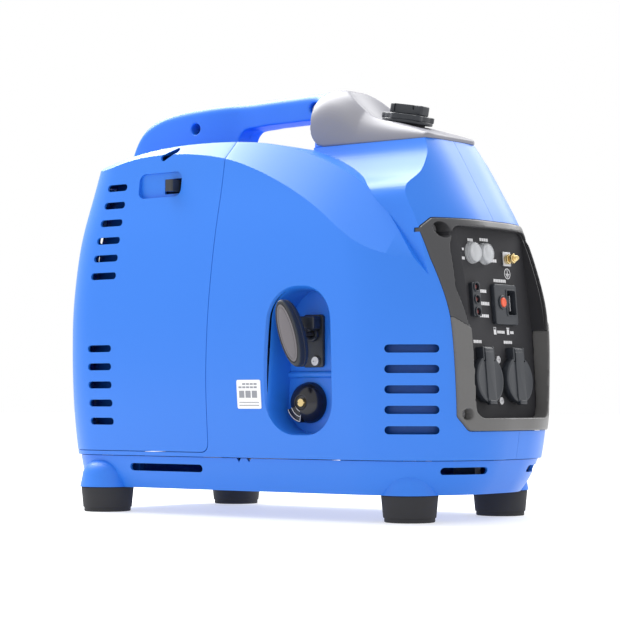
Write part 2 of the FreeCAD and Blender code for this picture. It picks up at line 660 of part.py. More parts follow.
def covers():
    """The moulded covers, as a dictionary of solids."""
    outer = body_form(0.0)
    skin = outer.cut(body_form(-WALL).common(box(-400, 400, -200, 200, 0, CAP_BASE_Z - WALL)))
    skin = skin.cut(box(-400, 400, -200, 200, 0, SEAM_Z + SEAM_GAP))
    skin = skin.cut(bezel_prism(BEZEL_GAP, 150, 400))
    skin = skin.cut(rod(NECK_R + 8, (CAP_X, 0, 400), (CAP_X, 0, 500)))
    corner = corner_slots()
    skin = skin.cut(corner).cut(mirrored(corner))

    gap = SEAM_GAP / 2
    door = skin.common(door_region(-gap))
    far_door = skin.common(mirrored(door_region(-gap)))
    rear = skin.common(rear_region(gap))
    front = skin.cut(door_region(gap)).cut(mirrored(door_region(gap))).cut(rear_region(-gap))
    right = front.common(box(-400, 400, -200, -gap / 2, 0, 500))
    left = front.common(box(-400, 400, gap / 2, 200, 0, 500))
    shelf = join([box(x, x + 22, -150, 4 - TANK_HALF, TANK_FLOOR_Z - 8, TANK_FLOOR_Z)
                  for x in (0, 140)]).common(body_form(-WALL))
    right = right.fuse(shelf)
    left = left.fuse(mirrored(shelf))

    pocket = pocket_prism(POCKET_WALL, -156, POCKET_FLOOR_Y + POCKET_WALL)
    right = right.fuse(pocket.common(outer))
    right = right.cut(pocket_prism(0.0, -170, POCKET_FLOOR_Y)).cut(pocket_mouth())
    right = right.cut(rod(ROPE_HOLE_R, (ROPE_X, -120, ROPE_Z), (ROPE_X, -100, ROPE_Z)))
    right = right.cut(rod(KNOB_STEM_R + 0.1, (KNOB_X, -120, KNOB_Z), (KNOB_X, -100, KNOB_Z)))

    finger = finger_pocket(FINGER_WALL, FINGER_FLOOR_Y + FINGER_WALL).common(outer)
    door = door.fuse(finger).cut(finger_pocket(0.0, FINGER_FLOOR_Y))
    door = door.cut(box(FINGER_X[1] - 30, FINGER_X[1] - 3, -130, -118, FINGER_Z[0] + 4, FINGER_Z[1] - 8))
    access = slot_y(-13, 13, 0, 8, -30, 30)
    access.rotate(V(0, 0, 0), Y_AXIS, -26)
    access.translate(V(-122.5, -118, 429))
    door = door.cut(access).cut(side_slots())
    far_door = far_door.cut(mirrored(side_slots()))

    louvres = []
    for i in range(LOUVRE_COUNT):
        z = LOUVRE_LOW_Z + i * LOUVRE_PITCH
        louvres.append(box(-330, -270, -LOUVRE_HALF, LOUVRE_HALF, z, z + LOUVRE_HEIGHT))
    rear = rear.cut(group(louvres))
    rear = rear.cut(rod(EXHAUST_R + 5, (-330, EXHAUST_Y, EXHAUST_Z), (-270, EXHAUST_Y, EXHAUST_Z)))
    return {"right_side_cover": largest(right), "left_side_cover": largest(left),
            "maintenance_door": largest(door), "left_rear_cover": largest(far_door),
            "rear_cover": largest(rear)}


def base_tray():
    """Tray under the covers with a flared dome over each foot."""
    tray = level_loft(TRAY_LEVELS, 0.0)
    tray = tray.cut(level_loft(TRAY_LEVELS, -WALL).common(
        box(-400, 400, -200, 200, FOOT_HEIGHT + TRAY_FLOOR, 100)))
    domes = []
    for x, y in foot_places():
        dome = Part.makeCone(FOOT_TOP_R + 1.5, FOOT_TOP_R - 3, DOME_HEIGHT, V(x, y, FOOT_HEIGHT))
        top = [e for e in dome.Edges if e.CenterOfMass.z > FOOT_HEIGHT + DOME_HEIGHT - 1
               and isinstance(e.Curve, Part.Circle)]
        domes.append(dome.makeFillet(DOME_R, top))
    tray = join([tray] + domes)
    for x, y in foot_places():
        tray = tray.cut(rod(FOOT_BOLT_R + FOOT_BOLT_CLEARANCE, (x, y, 0), (x, y, 200)))
    for side in (-1, 1):
        tray = tray.cut(slot_y(*TRAY_SLOT_X, 55, 9, *sorted((side * 128, side * 160))))
        for x in TRAY_NOTCH_X:
            tray = tray.cut(plate_xz([(x - 4, 69), (x + 4, 69), (x, 63.5)],
                                     *sorted((side * 125, side * 160))))
        slot = slot_y(-30, 30, 57, 8, -20, 20)
        slot.rotate(V(0, 0, 57), Z_AXIS, side * -TRAY_CORNER_TURN)
        slot.translate(V(TRAY_CORNER[0], side * TRAY_CORNER[1], 0))
        tray = tray.cut(slot)
    for x, y in ENGINE_MOUNTS:
        tray = tray.fuse(rod(14, (x, y, FOOT_HEIGHT + 1), (x, y, FOOT_HEIGHT + 12)))
    return tray


def foot_places():
    """Centres of the four feet."""
    return [(REAR_FOOT_X, -REAR_FOOT_Y), (REAR_FOOT_X, REAR_FOOT_Y),
            (FRONT_FOOT_X, -FRONT_FOOT_Y), (FRONT_FOOT_X, FRONT_FOOT_Y)]


def foot(x, y):
    """Tapered rubber foot with a pocket for its bolt's head."""
    lip = 5.0
    body = Part.makeCone(FOOT_TIP_R + 1.2, FOOT_TOP_R, FOOT_HEIGHT - lip, V(x, y, lip))
    tip = rod(FOOT_TIP_R, (x, y, GROUND), (x, y, lip + 0.5))
    body = join([body, tip])
    body = body.cut(rod(FOOT_POCKET_R, (x, y, GROUND), (x, y, FOOT_POCKET_DEPTH)))
    return body.cut(rod(FOOT_BOLT_R + FOOT_BOLT_CLEARANCE, (x, y, 0), (x, y, FOOT_HEIGHT + 1)))


def foot_bolt(x, y):
    """Bolt up through a foot and the tray's dome, with its nut."""
    seat = FOOT_HEIGHT + DOME_HEIGHT
    shank = rod(FOOT_BOLT_R, (x, y, FOOT_POCKET_DEPTH - 5), (x, y, seat + 9))
    head = rod(FOOT_HEAD_R, (x, y, FOOT_POCKET_DEPTH - 5), (x, y, FOOT_POCKET_DEPTH))
    nut = rod(7.0, (x, y, seat), (x, y, seat + 6))
    return join([shank, head, nut])


def baffles():
    """Inner plates that hide the works behind the louvres."""
    rear_box = box(-400, BAFFLE_FRONT_X, -200, -BAFFLE_MIDDLE, DOOR_BOTTOM_Z, BAFFLE_TOP_Z)
    rear = baffle_skin(REAR_BAFFLE_IN).common(rear_box)
    rear = join([rear, box(BAFFLE_FRONT_X - 16, BAFFLE_FRONT_X, -BAFFLE_FOOT_Y[1], -BAFFLE_FOOT_Y[0],
                           FOOT_HEIGHT + TRAY_FLOOR, DOOR_BOTTOM_Z + 10)])
    cx, cy = FRONT_VENT_CENTRE
    low, high = FRONT_VENT_TOP_Z - FRONT_VENT_PITCH * 4 - 10, FRONT_VENT_TOP_Z + 11
    front = baffle_skin(FRONT_BAFFLE_IN).common(box(cx - 48, cx + 20, -200, 0, low, high))
    ribs = group([box(cx - 44, cx - 34, -200, 0, z - 1.2, z + 1.2)
                  for z in (FRONT_VENT_TOP_Z - FRONT_VENT_PITCH * (i + 0.5) for i in (0, 3))])
    ribs = ribs.common(level_loft(BODY_LEVELS, -WALL)).cut(level_loft(BODY_LEVELS, -FRONT_BAFFLE_IN))
    front = join([front] + ribs.Solids)
    return [rear, mirrored(rear), front, mirrored(front)]


def baffle_skin(inset):
    """Thin skin that follows the covers at an inset."""
    return level_loft(BODY_LEVELS, -inset).cut(level_loft(BODY_LEVELS, -inset - BAFFLE_WALL))


# ---------------------------------------------------------------- control panel
def bezel():
    """Charcoal surround that follows the curved front and frames the recessed plate."""
    skin = level_loft(BODY_LEVELS, BEZEL_PROUD)
    ring = skin.common(bezel_prism(0.0, 150, 400))
    core = level_loft(BODY_LEVELS, -BEZEL_DEPTH).common(behind_panel())
    ring = ring.cut(core)
    back = box(150, 222, -200, 200, 0, 500)
    ring = ring.cut(back)
    bosses = []
    for y, z, radius, x in screw_places():
        boss = rod(radius + 3, (x - 4, y, z), (400, y, z))
        bosses.append(boss.common(skin).common(bezel_prism(0.0, 150, 400)))
    ring = join([ring] + bosses)
    opening = plate_yz(OPENING + [(-half, z) for half, z in reversed(OPENING)], 150, 400)
    ring = ring.cut(round_edges(opening, OPENING_R, X_AXIS,
                                lambda c: not OPENING[-1][1] + 5 < c.z < OPENING[0][1] - 5))
    for y, z, radius, x in screw_places():
        ring = ring.cut(rod(radius, (x, y, z), (400, y, z)))
    return ring.cut(plate_blank())


def screw_places():
    """y, z, counterbore radius and floor x of the bezel's four screws."""
    places = []
    for side in (-1, 1):
        places.append((side * UPPER_SCREW[0], UPPER_SCREW[1], 9.0, 229.0))
        places.append((side * LOWER_SCREW[0], LOWER_SCREW[1], 6.2, 266.0))
    return places


def plate_blank():
    """The panel plate before its holes, a little larger than the bezel's opening."""
    low, high = OPENING[-1][1], OPENING[0][1]
    side = [(half + PLATE_MARGIN, min(max(z, low - PLATE_MARGIN), high + PLATE_MARGIN) - PANEL_Z)
            for half, z in [(OPENING[0][0], high + PLATE_MARGIN)] + OPENING[1:-1]
            + [(OPENING[-1][0], low - PLATE_MARGIN)]]
    return on_panel(plate_yz(side + [(-half, z) for half, z in reversed(side)], -PANEL_PLATE, 0))


def panel_plate():
    """Flat plate that carries the controls."""
    plate = plate_blank()
    for y in ROCKER_Y:
        hole = box(-6, 6, y - 5.2, y + 5.2, ROCKER_Z - 10.4, ROCKER_Z + 10.4)
        pivot = rod(0.9 + RUNNING_GAP, (-1.25, y - 7.6, ROCKER_Z), (-1.25, y + 7.6, ROCKER_Z))
        plate = plate.cut(on_panel(join([hole, pivot])))
    for side in (-1, 1):
        y = side * OUTLET_Y
        plate = plate.cut(on_panel(rod(21.0, (-6, y, OUTLET_Z), (6, y, OUTLET_Z))))
    plate = plate.cut(on_panel(box(-6, 6, 0, 40, 3, 43)))
    plate = plate.cut(on_panel(box(-6, 6, -43, -33, 11, 43)))
    for z in (-40.0, -86.5):
        plate = plate.cut(on_panel(rod(2.2, (-6, 0, z), (6, 0, z))))
    return plate.cut(on_panel(rod(3.2, (-6, 35, 76), (6, 35, 76))))


def rocker(y):
    """Rocker with two pivot stubs, resting tilted to its off side."""
    cap = box(-6, 4.5, y - 5, y + 5, ROCKER_Z - 9, ROCKER_Z + 9)
    notch = rod(14.0, (15.5, y - 6, ROCKER_Z), (15.5, y + 6, ROCKER_Z))
    stub = rod(0.9, (-1.25, y - 7.4, ROCKER_Z), (-1.25, y + 7.4, ROCKER_Z))
    shape = join([cap.cut(notch), stub])
    return on_panel(turned(shape, -ROCKER_TILT, (-1.25, y, ROCKER_Z), Y_AXIS))


def rocker_boot(y):
    """Clear splash boot over one rocker."""
    outer = rod(12.5, (0, y, ROCKER_Z), (9, y, ROCKER_Z))
    rim = [e for e in outer.Edges if e.CenterOfMass.x > 8.9 and isinstance(e.Curve, Part.Circle)]
    outer = outer.makeFillet(3.0, rim)
    return on_panel(outer.cut(rod(11.3, (-1, y, ROCKER_Z), (7.6, y, ROCKER_Z))))


def ground_terminal():
    """Earth stud with its square clamp plate and wing of the nut."""
    plate = box(0, 2, 27, 43, 68, 84.5)
    stud = rod(3.0, (-8, 35, 76), (17, 35, 76))
    nut = rod(5.8, (2, 35, 76), (7, 35, 76))
    return on_panel(join([plate, stud, nut]))


def lamp_housing():
    """Upright block with three lamp wells."""
    block = join([box(0, 5, -46, -30, 8, 46), box(-4, 0, -42.8, -33.2, 11.2, 42.8)])
    for z in LAMP_Z:
        block = block.cut(rod(4.2, (1, -38, z), (6, -38, z)))
    return on_panel(block)


def lamp(z):
    """One indicator lens."""
    lens = rod(3.6, (1, -38, z), (4.2, -38, z))
    return on_panel(lens)


def dc_outlet():
    """Low-voltage module with a two-pin well and a bore for its reset button."""
    face = box(0, 6, -3, 43, 0, 46)
    face = round_edges(face, 3.0, X_AXIS)
    rear = box(-22, 0, 0.4, 39.6, 3.4, 42.6)
    block = join([face, rear])
    well = box(-14, 8, 21.5, 38.5, 11, 39)
    pins = [box(-14, 2, 25, 26.5, 16, 34), box(-14, 2, 33.5, 35, 16, 34)]
    block = block.cut(well)
    block = join([block] + pins)
    return on_panel(block.cut(rod(5.6, (-6, 12, 25), (8, 12, 25))))


def reset_button():
    """Round reset button of the low-voltage breaker."""
    return on_panel(rod(5.55, (-3.0, 12, 25), (8.5, 12, 25)))


def ac_outlet(side):
    """Round mains outlet with hinge ears above it."""
    y = side * OUTLET_Y
    flange = rod(25.5, (0, y, OUTLET_Z), (4.5, y, OUTLET_Z))
    drum = rod(20.6, (-28, y, OUTLET_Z), (0, y, OUTLET_Z))
    well = rod(18.5, (-16, y, OUTLET_Z), (9, y, OUTLET_Z))
    hinge_z = OUTLET_Z + LID_HINGE_UP
    ears = []
    for edge in (-1, 1):
        y0, y1 = sorted((y + edge * 8.4, y + edge * 11.4))
        ears.append(box(0, LID_OUT + 3, y0, y1, hinge_z - 12, hinge_z + 3.5))
    pin = rod(LID_PIN_R, (LID_OUT, y - 11, hinge_z), (LID_OUT, y + 11, hinge_z))
    block = join([flange, drum] + ears + [pin]).cut(well)
    contacts = []
    for angle in (90, 210, 330):
        a = math.radians(angle)
        cy, cz = y + 9 * math.cos(a), OUTLET_Z + 9 * math.sin(a)
        contacts.append(box(-24, -15, cy - 1.2, cy + 1.2, cz - 3.5, cz + 3.5))
    return on_panel(block.cut(group(contacts)))


def outlet_lid(side):
    """Round flip lid with a tab that turns on the outlet's pin."""
    y = side * OUTLET_Y
    hinge_z = OUTLET_Z + LID_HINGE_UP
    disc = rod(OUTLET_R, (5.0, y, OUTLET_Z), (10.5, y, OUTLET_Z))
    rim = [e for e in disc.Edges if e.CenterOfMass.x > 10.4 and isinstance(e.Curve, Part.Circle)]
    disc = disc.makeFillet(2.0, rim)
    tab = box(5.0, 9.5, y - 8, y + 8, OUTLET_Z + 20, hinge_z)
    knuckle = rod(3.8, (LID_OUT, y - 8, hinge_z), (LID_OUT, y + 8, hinge_z))
    lip = box(8, 13, y - 7, y + 7, OUTLET_Z - OUTLET_R - 1.5, OUTLET_Z - OUTLET_R + 3)
    lid = join([disc, tab, knuckle, lip])
    relief = [box(4, 12, *sorted((y + e * 8.0, y + e * 12.0)), hinge_z - 13.0, hinge_z + 4)
              for e in (-1, 1)]
    lid = lid.cut(join(relief))
    bore = rod(LID_PIN_R + RUNNING_GAP, (LID_OUT, y - 9, hinge_z), (LID_OUT, y + 9, hinge_z))
    return on_panel(lid.cut(bore))


def panel_screws():
    """Screws of the bezel and of the outlet block."""
    screws = []
    for y, z, radius, x in screw_places():
        head = rod(min(radius - 1.2, 6.0), (x, y, z), (x + 4, y, z))
        slot = box(x + 2.4, x + 5, y - 4, y + 4, z - 0.6, z + 0.6)
        screws.append(head.cut(slot))
    for z in (-40.0, -86.5):
        head = rod(4.2, (0, 0, z), (2.6, 0, z))
        shank = rod(2.0, (-8, 0, z), (0, 0, z))
        screws.append(on_panel(join([head, shank]).cut(box(1.6, 4, -3, 3, z - 0.5, z + 0.5))))
    return screws


# ---------------------------------------------------------------- starter and engine knob
def grip():
    """Oval pull grip: rounded block, narrower towards the rope."""
    half_l, half_w = GRIP_LENGTH / 2, GRIP_WIDTH / 2
    wires = []
    for scale, depth in ((0.90, 0.0), (1.0, 4.0), (1.0, 14.0), (0.86, 19.5), (0.55, GRIP_DEPTH)):
        a, b = half_l * scale, half_w * (scale if scale > 0.6 else 0.62)
        ring = Part.Ellipse(V(0, 0, 0), a, b).toShape()
        wire = Part.Wire(ring)
        wire.rotate(V(0, 0, 0), X_AXIS, 90)
        wire.translate(V(0, depth, 0))
        wires.append(wire)
    body = Part.makeLoft(wires, True, False)
    body.rotate(V(0, 0, 0), Y_AXIS, 90 - GRIP_TILT)
    body.translate(V(ROPE_X, GRIP_Y - GRIP_DEPTH / 2, ROPE_Z))
    seat = rod(ROPE_R + 0.05, (ROPE_X, GRIP_Y - 4, ROPE_Z), (ROPE_X, GRIP_Y + 40, ROPE_Z))
    return body.cut(seat).cut(grip_insert(0.15))


def grip_insert(grow):
    """Oval inlay in the grip's face."""
    a = GRIP_LENGTH / 2 - 6.0 + grow
    b = GRIP_WIDTH / 2 - 3.2 + grow
    wire = Part.Wire(Part.Ellipse(V(0, 0, 0), a, b).toShape())
    wire.rotate(V(0, 0, 0), X_AXIS, 90)
    inlay = Part.Face(wire).extrude(V(0, 2.6 + grow, 0))
    inlay.rotate(V(0, 0, 0), Y_AXIS, 90 - GRIP_TILT)
    inlay.translate(V(ROPE_X, GRIP_Y - GRIP_DEPTH / 2 - 0.6, ROPE_Z))
    return inlay


def rope():
    """Free length of the starter rope, from the pulley to the grip."""
    return rod(ROPE_R, (ROPE_X, CRANK_Y, ROPE_Z), (ROPE_X, GRIP_Y - 4, ROPE_Z))


def rope_bracket():
    """Guide bracket on the pocket's floor, with a flanged eye for the rope."""
    plate = box(ROPE_X - 14.5, ROPE_X + 14.5, POCKET_FLOOR_Y - 4, POCKET_FLOOR_Y, 172, 232)
    plate = round_edges(plate, 4.0, Y_AXIS)
    hood = box(ROPE_X - 12, ROPE_X + 12, POCKET_FLOOR_Y - 18, POCKET_FLOOR_Y - 4, 214, 230)
    hood = round_edges(hood, 3.0, Y_AXIS)
    eye = rod(8.8, (ROPE_X, POCKET_FLOOR_Y - 8, ROPE_Z), (ROPE_X, POCKET_FLOOR_Y + 5, ROPE_Z))
    bracket = join([plate, hood, eye])
    bracket = bracket.cut(rod(ROPE_R + 0.5, (ROPE_X, -140, ROPE_Z), (ROPE_X, -95, ROPE_Z)))
    return bracket.cut(rod(2.6, (ROPE_X + 5, -130, 179), (ROPE_X + 5, POCKET_FLOOR_Y, 179)))


def bracket_screw():
    """Cross-head screw that holds the guide bracket."""
    head = rod(5.0, (ROPE_X + 5, POCKET_FLOOR_Y - 7, 179), (ROPE_X + 5, POCKET_FLOOR_Y - 4, 179))
    shank = rod(2.5, (ROPE_X + 5, POCKET_FLOOR_Y - 4, 179), (ROPE_X + 5, POCKET_FLOOR_Y, 179))
    cross = box(ROPE_X + 2, ROPE_X + 8, POCKET_FLOOR_Y - 8, POCKET_FLOOR_Y - 5.8, 178.4, 179.6)
    return join([head, shank]).cut(cross)


def engine_knob():
    """Three-position engine knob with a raised grip bar."""
    y0 = POCKET_FLOOR_Y - FREE_GAP
    disc = Part.makeCone(KNOB_R, KNOB_R - 2.5, 9.0, V(KNOB_X, y0, KNOB_Z), V(0, -1, 0))
    bar = box(-6.5, 6.5, -KNOB_DEPTH, -6, -KNOB_R + 1.5, KNOB_R - 1.5)
    bar = round_edges(bar, 5.0, Y_AXIS)
    bar.rotate(V(0, 0, 0), Y_AXIS, KNOB_BAR_TURN)
    bar.translate(V(KNOB_X, y0, KNOB_Z))
    stem = rod(KNOB_STEM_R, (KNOB_X, y0, KNOB_Z), (KNOB_X, y0 + 16, KNOB_Z))
    knob = join([disc, bar, stem])
    knob = knob.cut(rod(5.2, (KNOB_X, y0 - 30, KNOB_Z), (KNOB_X, y0 - KNOB_DEPTH + 4, KNOB_Z)))
    return knob.cut(rod(2.2, (KNOB_X, y0 - 30, KNOB_Z), (KNOB_X, y0 + 6, KNOB_Z)))


def knob_screw():
    """Brass screw in the middle of the engine knob."""
    y0 = POCKET_FLOOR_Y - FREE_GAP
    head = rod(4.4, (KNOB_X, y0 - KNOB_DEPTH + 0.6, KNOB_Z), (KNOB_X, y0 - KNOB_DEPTH + 4, KNOB_Z))
    shank = rod(2.2, (KNOB_X, y0 - KNOB_DEPTH + 4, KNOB_Z), (KNOB_X, y0 + 6, KNOB_Z))
    slot = box(KNOB_X - 5, KNOB_X + 5, y0 - KNOB_DEPTH, y0 - KNOB_DEPTH + 2, KNOB_Z - 0.6, KNOB_Z + 0.6)
    return join([head, shank]).cut(slot)


def valve_body():
    """Fuel valve behind the pocket, which the knob's stem turns in."""
    y0 = POCKET_FLOOR_Y + POCKET_WALL
    body = box(KNOB_X - 14, KNOB_X + 14, y0, y0 + 22, KNOB_Z - 14, KNOB_Z + 14)
    bore = rod(KNOB_STEM_R + RUNNING_GAP, (KNOB_X, y0 - 1, KNOB_Z), (KNOB_X, y0 + 14, KNOB_Z))
    x1, y1, z1 = HOSE_ROUTE[-1]
    barb = rod(3.0, (x1, y1, KNOB_Z + 13), (x1, y1, z1))
    return join([body, barb]).cut(bore)


# ---------------------------------------------------------------- drive line
def ring(outer, inner, x0, x1):
    """Ring about the crank axis."""
    return tube(outer, inner, (x0, CRANK_Y, CRANK_Z), (x1, CRANK_Y, CRANK_Z))


def disc(radius, x0, x1):
    """Disc about the crank axis."""
    return rod(radius, (x0, CRANK_Y, CRANK_Z), (x1, CRANK_Y, CRANK_Z))


def pulley():
    """Rope pulley with its winding, on the recoil housing's post."""
    drum = disc(PULLEY_R - ROPE_R, 80.5, 90.5)
    sides = [disc(PULLEY_R + 5, 77.5, 80.5), disc(PULLEY_R + 5, 90.5, 93.5)]
    return join([drum] + sides).cut(disc(8.0 + RUNNING_GAP, 70, 100))


def recoil_housing():
    """Cover of the recoil starter, with the post that carries the pulley."""
    shell = disc(66.0, 72.0, 102.0).cut(disc(62.5, 71.0, 99.0))
    post = disc(8.0, 77.0, 99.0)
    mouth = box(76, 96, CRANK_Y - 80, CRANK_Y - 40, CRANK_Z + 20, CRANK_Z + 46)
    vents = []
    for i in range(10):
        a = math.radians(36 * i + 18)
        vents.append(rod(5.0, (95, CRANK_Y + 50 * math.cos(a), CRANK_Z + 50 * math.sin(a)),
                         (105, CRANK_Y + 50 * math.cos(a), CRANK_Z + 50 * math.sin(a))))
    return join([shell, post]).cut(mouth).cut(group(vents))


def recoil_spring():
    """Flat spiral spring in its cup behind the pulley."""
    return ring(26.0, 8.3, 94.2, 98.8)


def crankshaft():
    """Shaft with two webs, from the timing end to the flywheel nut."""
    shaft = disc(SHAFT_R, -112.0, 60.0)
    webs = [disc(28.0, -72.0, -62.0), disc(28.0, -40.0, -30.0)]
    nut = disc(11.0, 60.0, 69.0)
    return join([shaft, nut] + webs)


def flywheel_fan():
    """Cooling fan and outer rotor of the alternator, keyed to the shaft."""
    cup = disc(58.0, 18.0, 52.0).cut(disc(52.0, 17.0, 48.0))
    hub = disc(18.0, 44.0, 52.0)
    blades = []
    for i in range(12):
        blade = box(52.0, 66.0, 24.0, 56.0, -1.5, 1.5)
        blade.rotate(V(0, 0, 0), X_AXIS, 30.0 * i)
        blade.translate(V(0, CRANK_Y, CRANK_Z))
        blades.append(blade)
    return join([cup, hub] + blades).cut(disc(SHAFT_R, 10.0, 70.0))


def stator():
    """Wound stator inside the rotor, carried on the crankcase."""
    core = disc(36.0, 21.0, 41.0)
    poles = []
    for i in range(12):
        pole = box(22.0, 40.0, 30.0, 50.5, -5.0, 5.0)
        pole.rotate(V(0, 0, 0), X_AXIS, 30.0 * i + 15)
        pole.translate(V(0, CRANK_Y, CRANK_Z))
        poles.append(pole)
    sleeve = disc(22.0, 8.0, 21.0)
    return join([core, sleeve] + poles).cut(disc(SHAFT_R + 1.5, 0, 60))


def crankcase():
    """Engine block with two bearing bores and a hollow for the webs."""
    block = box(-110, 8, CRANK_Y - 62, CRANK_Y + 62, 78, 232)
    block = round_edges(block, 14.0, X_AXIS)
    sump = box(-104, 2, CRANK_Y - 50, CRANK_Y + 50, 62, 80)
    feet = [box(x - 14, x + 14, y - 16, y + 16, 62, 72) for x, y in ENGINE_MOUNTS]
    rails = [box(-110, 44, y - 8, y + 8, 66, 80) for y in (-55.0, 75.0)]
    block = join([block, sump] + feet + rails)
    block = block.cut(disc(33.0, -78, -24)).cut(disc(SHAFT_R + RUNNING_GAP, -120, 20))
    for x, y in ENGINE_MOUNTS:
        block = block.cut(rod(4.2, (x, y, 50), (x, y, 90)))
    return block.cut(rod(4.2, (-60, CRANK_Y - 63, 104), (-60, CRANK_Y - 48, 104)))


def cylinder_head():
    """Finned barrel and head above the crankcase."""
    x, y = -51.0, CRANK_Y
    core = rod(34.0, (x, y, 232), (x, y, 296))
    fins = [box(x - 52, x + 52, y - 50, y + 50, z, z + 2.5) for z in (240, 248, 256, 264, 272)]
    head = box(x - 46, x + 46, y - 44, y + 44, 280, 304)
    return join([core, head] + fins)


def spark_plug():
    """Plug in the side of the head, with its hexagon and insulator."""
    y0 = CRANK_Y - 44
    return join([rod(7.0, (-51, y0, 292), (-51, y0 - 12, 292)),
                 rod(10.0, (-51, y0 - 4, 292), (-51, y0 - 12, 292)),
                 rod(5.0, (-51, y0 - 12, 292), (-51, y0 - 38, 292))])


def ignition_coil():
    """Coil on the block beside the flywheel, with its lead's stub."""
    core = box(-22, 8, -78, -52, 196, 226)
    lead = rod(3.5, (-14, -65, 226), (-14, -65, 262))
    return join([core, lead])


def carburettor():
    """Carburettor on the rear of the head, with its float bowl."""
    body = box(-136, -97, -24, 24, 282, 312)
    bowl = rod(13.5, (-118, 0, 258), (-118, 0, 283))
    barb = rod(3.0, (-118, 24, 296), (-118, 40, 296))
    return join([body, bowl, barb]).cut(rod(9.0, (-140, 0, 297), (-110, 0, 297)))


def air_filter_element():
    """Foam element in the filter tray."""
    return box(-147, -89, -112, -64, 266, 325)


def oil_dipstick():
    """Oil filler plug with its stick, low on the block's service side."""
    y0 = CRANK_Y - 62
    head = rod(12.0, (-60, y0 - 14, 104), (-60, y0, 104))
    stick = rod(4.0, (-60, y0, 104), (-60, y0 + 12, 104))
    return join([head, stick])


def air_filter_box():
    """Open-topped filter box behind the door, joined to the carburettor by its elbow."""
    shell = box(-152, -136, -60, 36, 262, 330)
    tray = box(-152, -84, -118, -60, 262, 330)
    tray = tray.cut(box(-148, -88, -119, -64, 266, 326))
    shell = shell.cut(box(-148, -140, -61, 32, 266, 326))
    port = rod(9.0, (-141, 0, 297), (-130, 0, 297))
    return join([shell, tray]).cut(port)


def muffler():
    """Silencer at the rear, its down pipe and the outlet spout."""
    can = box(-252, -176, -90, 80, 316, 396)
    can = round_edges(can, 16.0, Y_AXIS)
    pipe = join([rod(11.0, (-180, 55, 336), (-106, 55, 296)), box(-108, -97, 43, 67, 280, 306)])
    bracket = box(-200, -190, 50, 70, 100, 320)
    foot_flange = box(-206, -110, 46, 72, 96, 102)
    outlet = tube(EXHAUST_R, EXHAUST_R - 1.5, (-251, EXHAUST_Y, EXHAUST_Z),
                  (-292, EXHAUST_Y, EXHAUST_Z))
    return join([can, pipe, bracket, foot_flange, outlet]).cut(
        rod(EXHAUST_R - 1.5, (-293, EXHAUST_Y, EXHAUST_Z), (-235, EXHAUST_Y, EXHAUST_Z)))


def fuel_tank():
    """Blow-moulded tank under the hood, with its filler neck leaning forward."""
    side = [(-60, TANK_FLOOR_Z), (196, TANK_FLOOR_Z), (196, 344), (176, 374), (140, 402),
            (60, 408), (-30, 412), (-60, 406)]
    tank = plate_xz(side, -TANK_HALF, TANK_HALF)
    tank = round_edges(tank, 8.0, Y_AXIS)
    edges = box(-100, 250, -TANK_HALF, TANK_HALF, 300, 352)
    hood_part = box(-100, 250, -44, 44, 300, 430)
    tank = tank.common(join([edges, hood_part]))
    neck = on_cap_axis(rod(NECK_R, (CAP_X, 0, CAP_SEAT_Z - 70), (CAP_X, 0, CAP_SEAT_Z)))
    hollow_neck = on_cap_axis(rod(NECK_R - NECK_WALL, (CAP_X, 0, CAP_SEAT_Z - 68),
                                  (CAP_X, 0, CAP_SEAT_Z + 10)))
    spigot = rod(4.0, HOSE_ROUTE[0], (HOSE_ROUTE[0][0], HOSE_ROUTE[0][1], 323))
    return join([tank, neck, spigot]).cut(hollow_neck)


def fuel_strainer():
    """Mesh cup hanging in the filler neck."""
    cup = tube(NECK_R - NECK_WALL - 0.1, NECK_R - NECK_WALL - 1.2, (CAP_X, 0, CAP_SEAT_Z - 60),
               (CAP_X, 0, CAP_SEAT_Z - 1))
    floor = rod(NECK_R - NECK_WALL - 0.1, (CAP_X, 0, CAP_SEAT_Z - 61.5), (CAP_X, 0, CAP_SEAT_Z - 60))
    return on_cap_axis(join([cup, floor]))


def fuel_cap():
    """Lobed filler cap with a skirt over the neck."""
    lobes = [rod(7.0, (CAP_X + (CAP_R - 5) * math.cos(a), (CAP_R - 5) * math.sin(a), CAP_SEAT_Z + 3),
                 (CAP_X + (CAP_R - 5) * math.cos(a), (CAP_R - 5) * math.sin(a), CAP_SEAT_Z + 13))
             for a in [math.radians(60 * i + 30) for i in range(6)]]
    dome = rod(CAP_R - 2, (CAP_X, 0, CAP_SEAT_Z + 3), (CAP_X, 0, CAP_SEAT_Z + 13))
    shape = join([dome] + lobes)
    plug = tube(NECK_R - NECK_WALL - 2.0, 12.0, (CAP_X, 0, CAP_SEAT_Z - 8), (CAP_X, 0, CAP_SEAT_Z + 3.5))
    post = rod(4.0, (CAP_X, 0, CAP_SEAT_Z + 12), (CAP_X, 0, CAP_SEAT_Z + 22))
    return on_cap_axis(join([shape, plug, post]))


def cap_gasket():
    """Flat seal between the cap and the neck's rim."""
    return on_cap_axis(tube(NECK_R, NECK_R - NECK_WALL - 1.5, (CAP_X, 0, CAP_SEAT_Z),
                            (CAP_X, 0, CAP_SEAT_Z + 3)))


def vent_lever():
    """Bar on top of the cap that opens its vent."""
    bar = box(CAP_X - 24, CAP_X + 24, -9, 9, CAP_SEAT_Z + 13.4, CAP_SEAT_Z + 25)
    bar = round_edges(bar, 7.0, Z_AXIS)
    notch = box(CAP_X + 10, CAP_X + 13, -12, 12, CAP_SEAT_Z + 20, CAP_SEAT_Z + 30)
    bore = rod(4.0 + RUNNING_GAP, (CAP_X, 0, CAP_SEAT_Z + 10), (CAP_X, 0, CAP_SEAT_Z + 22.5))
    return on_cap_axis(bar.cut(notch).cut(bore))


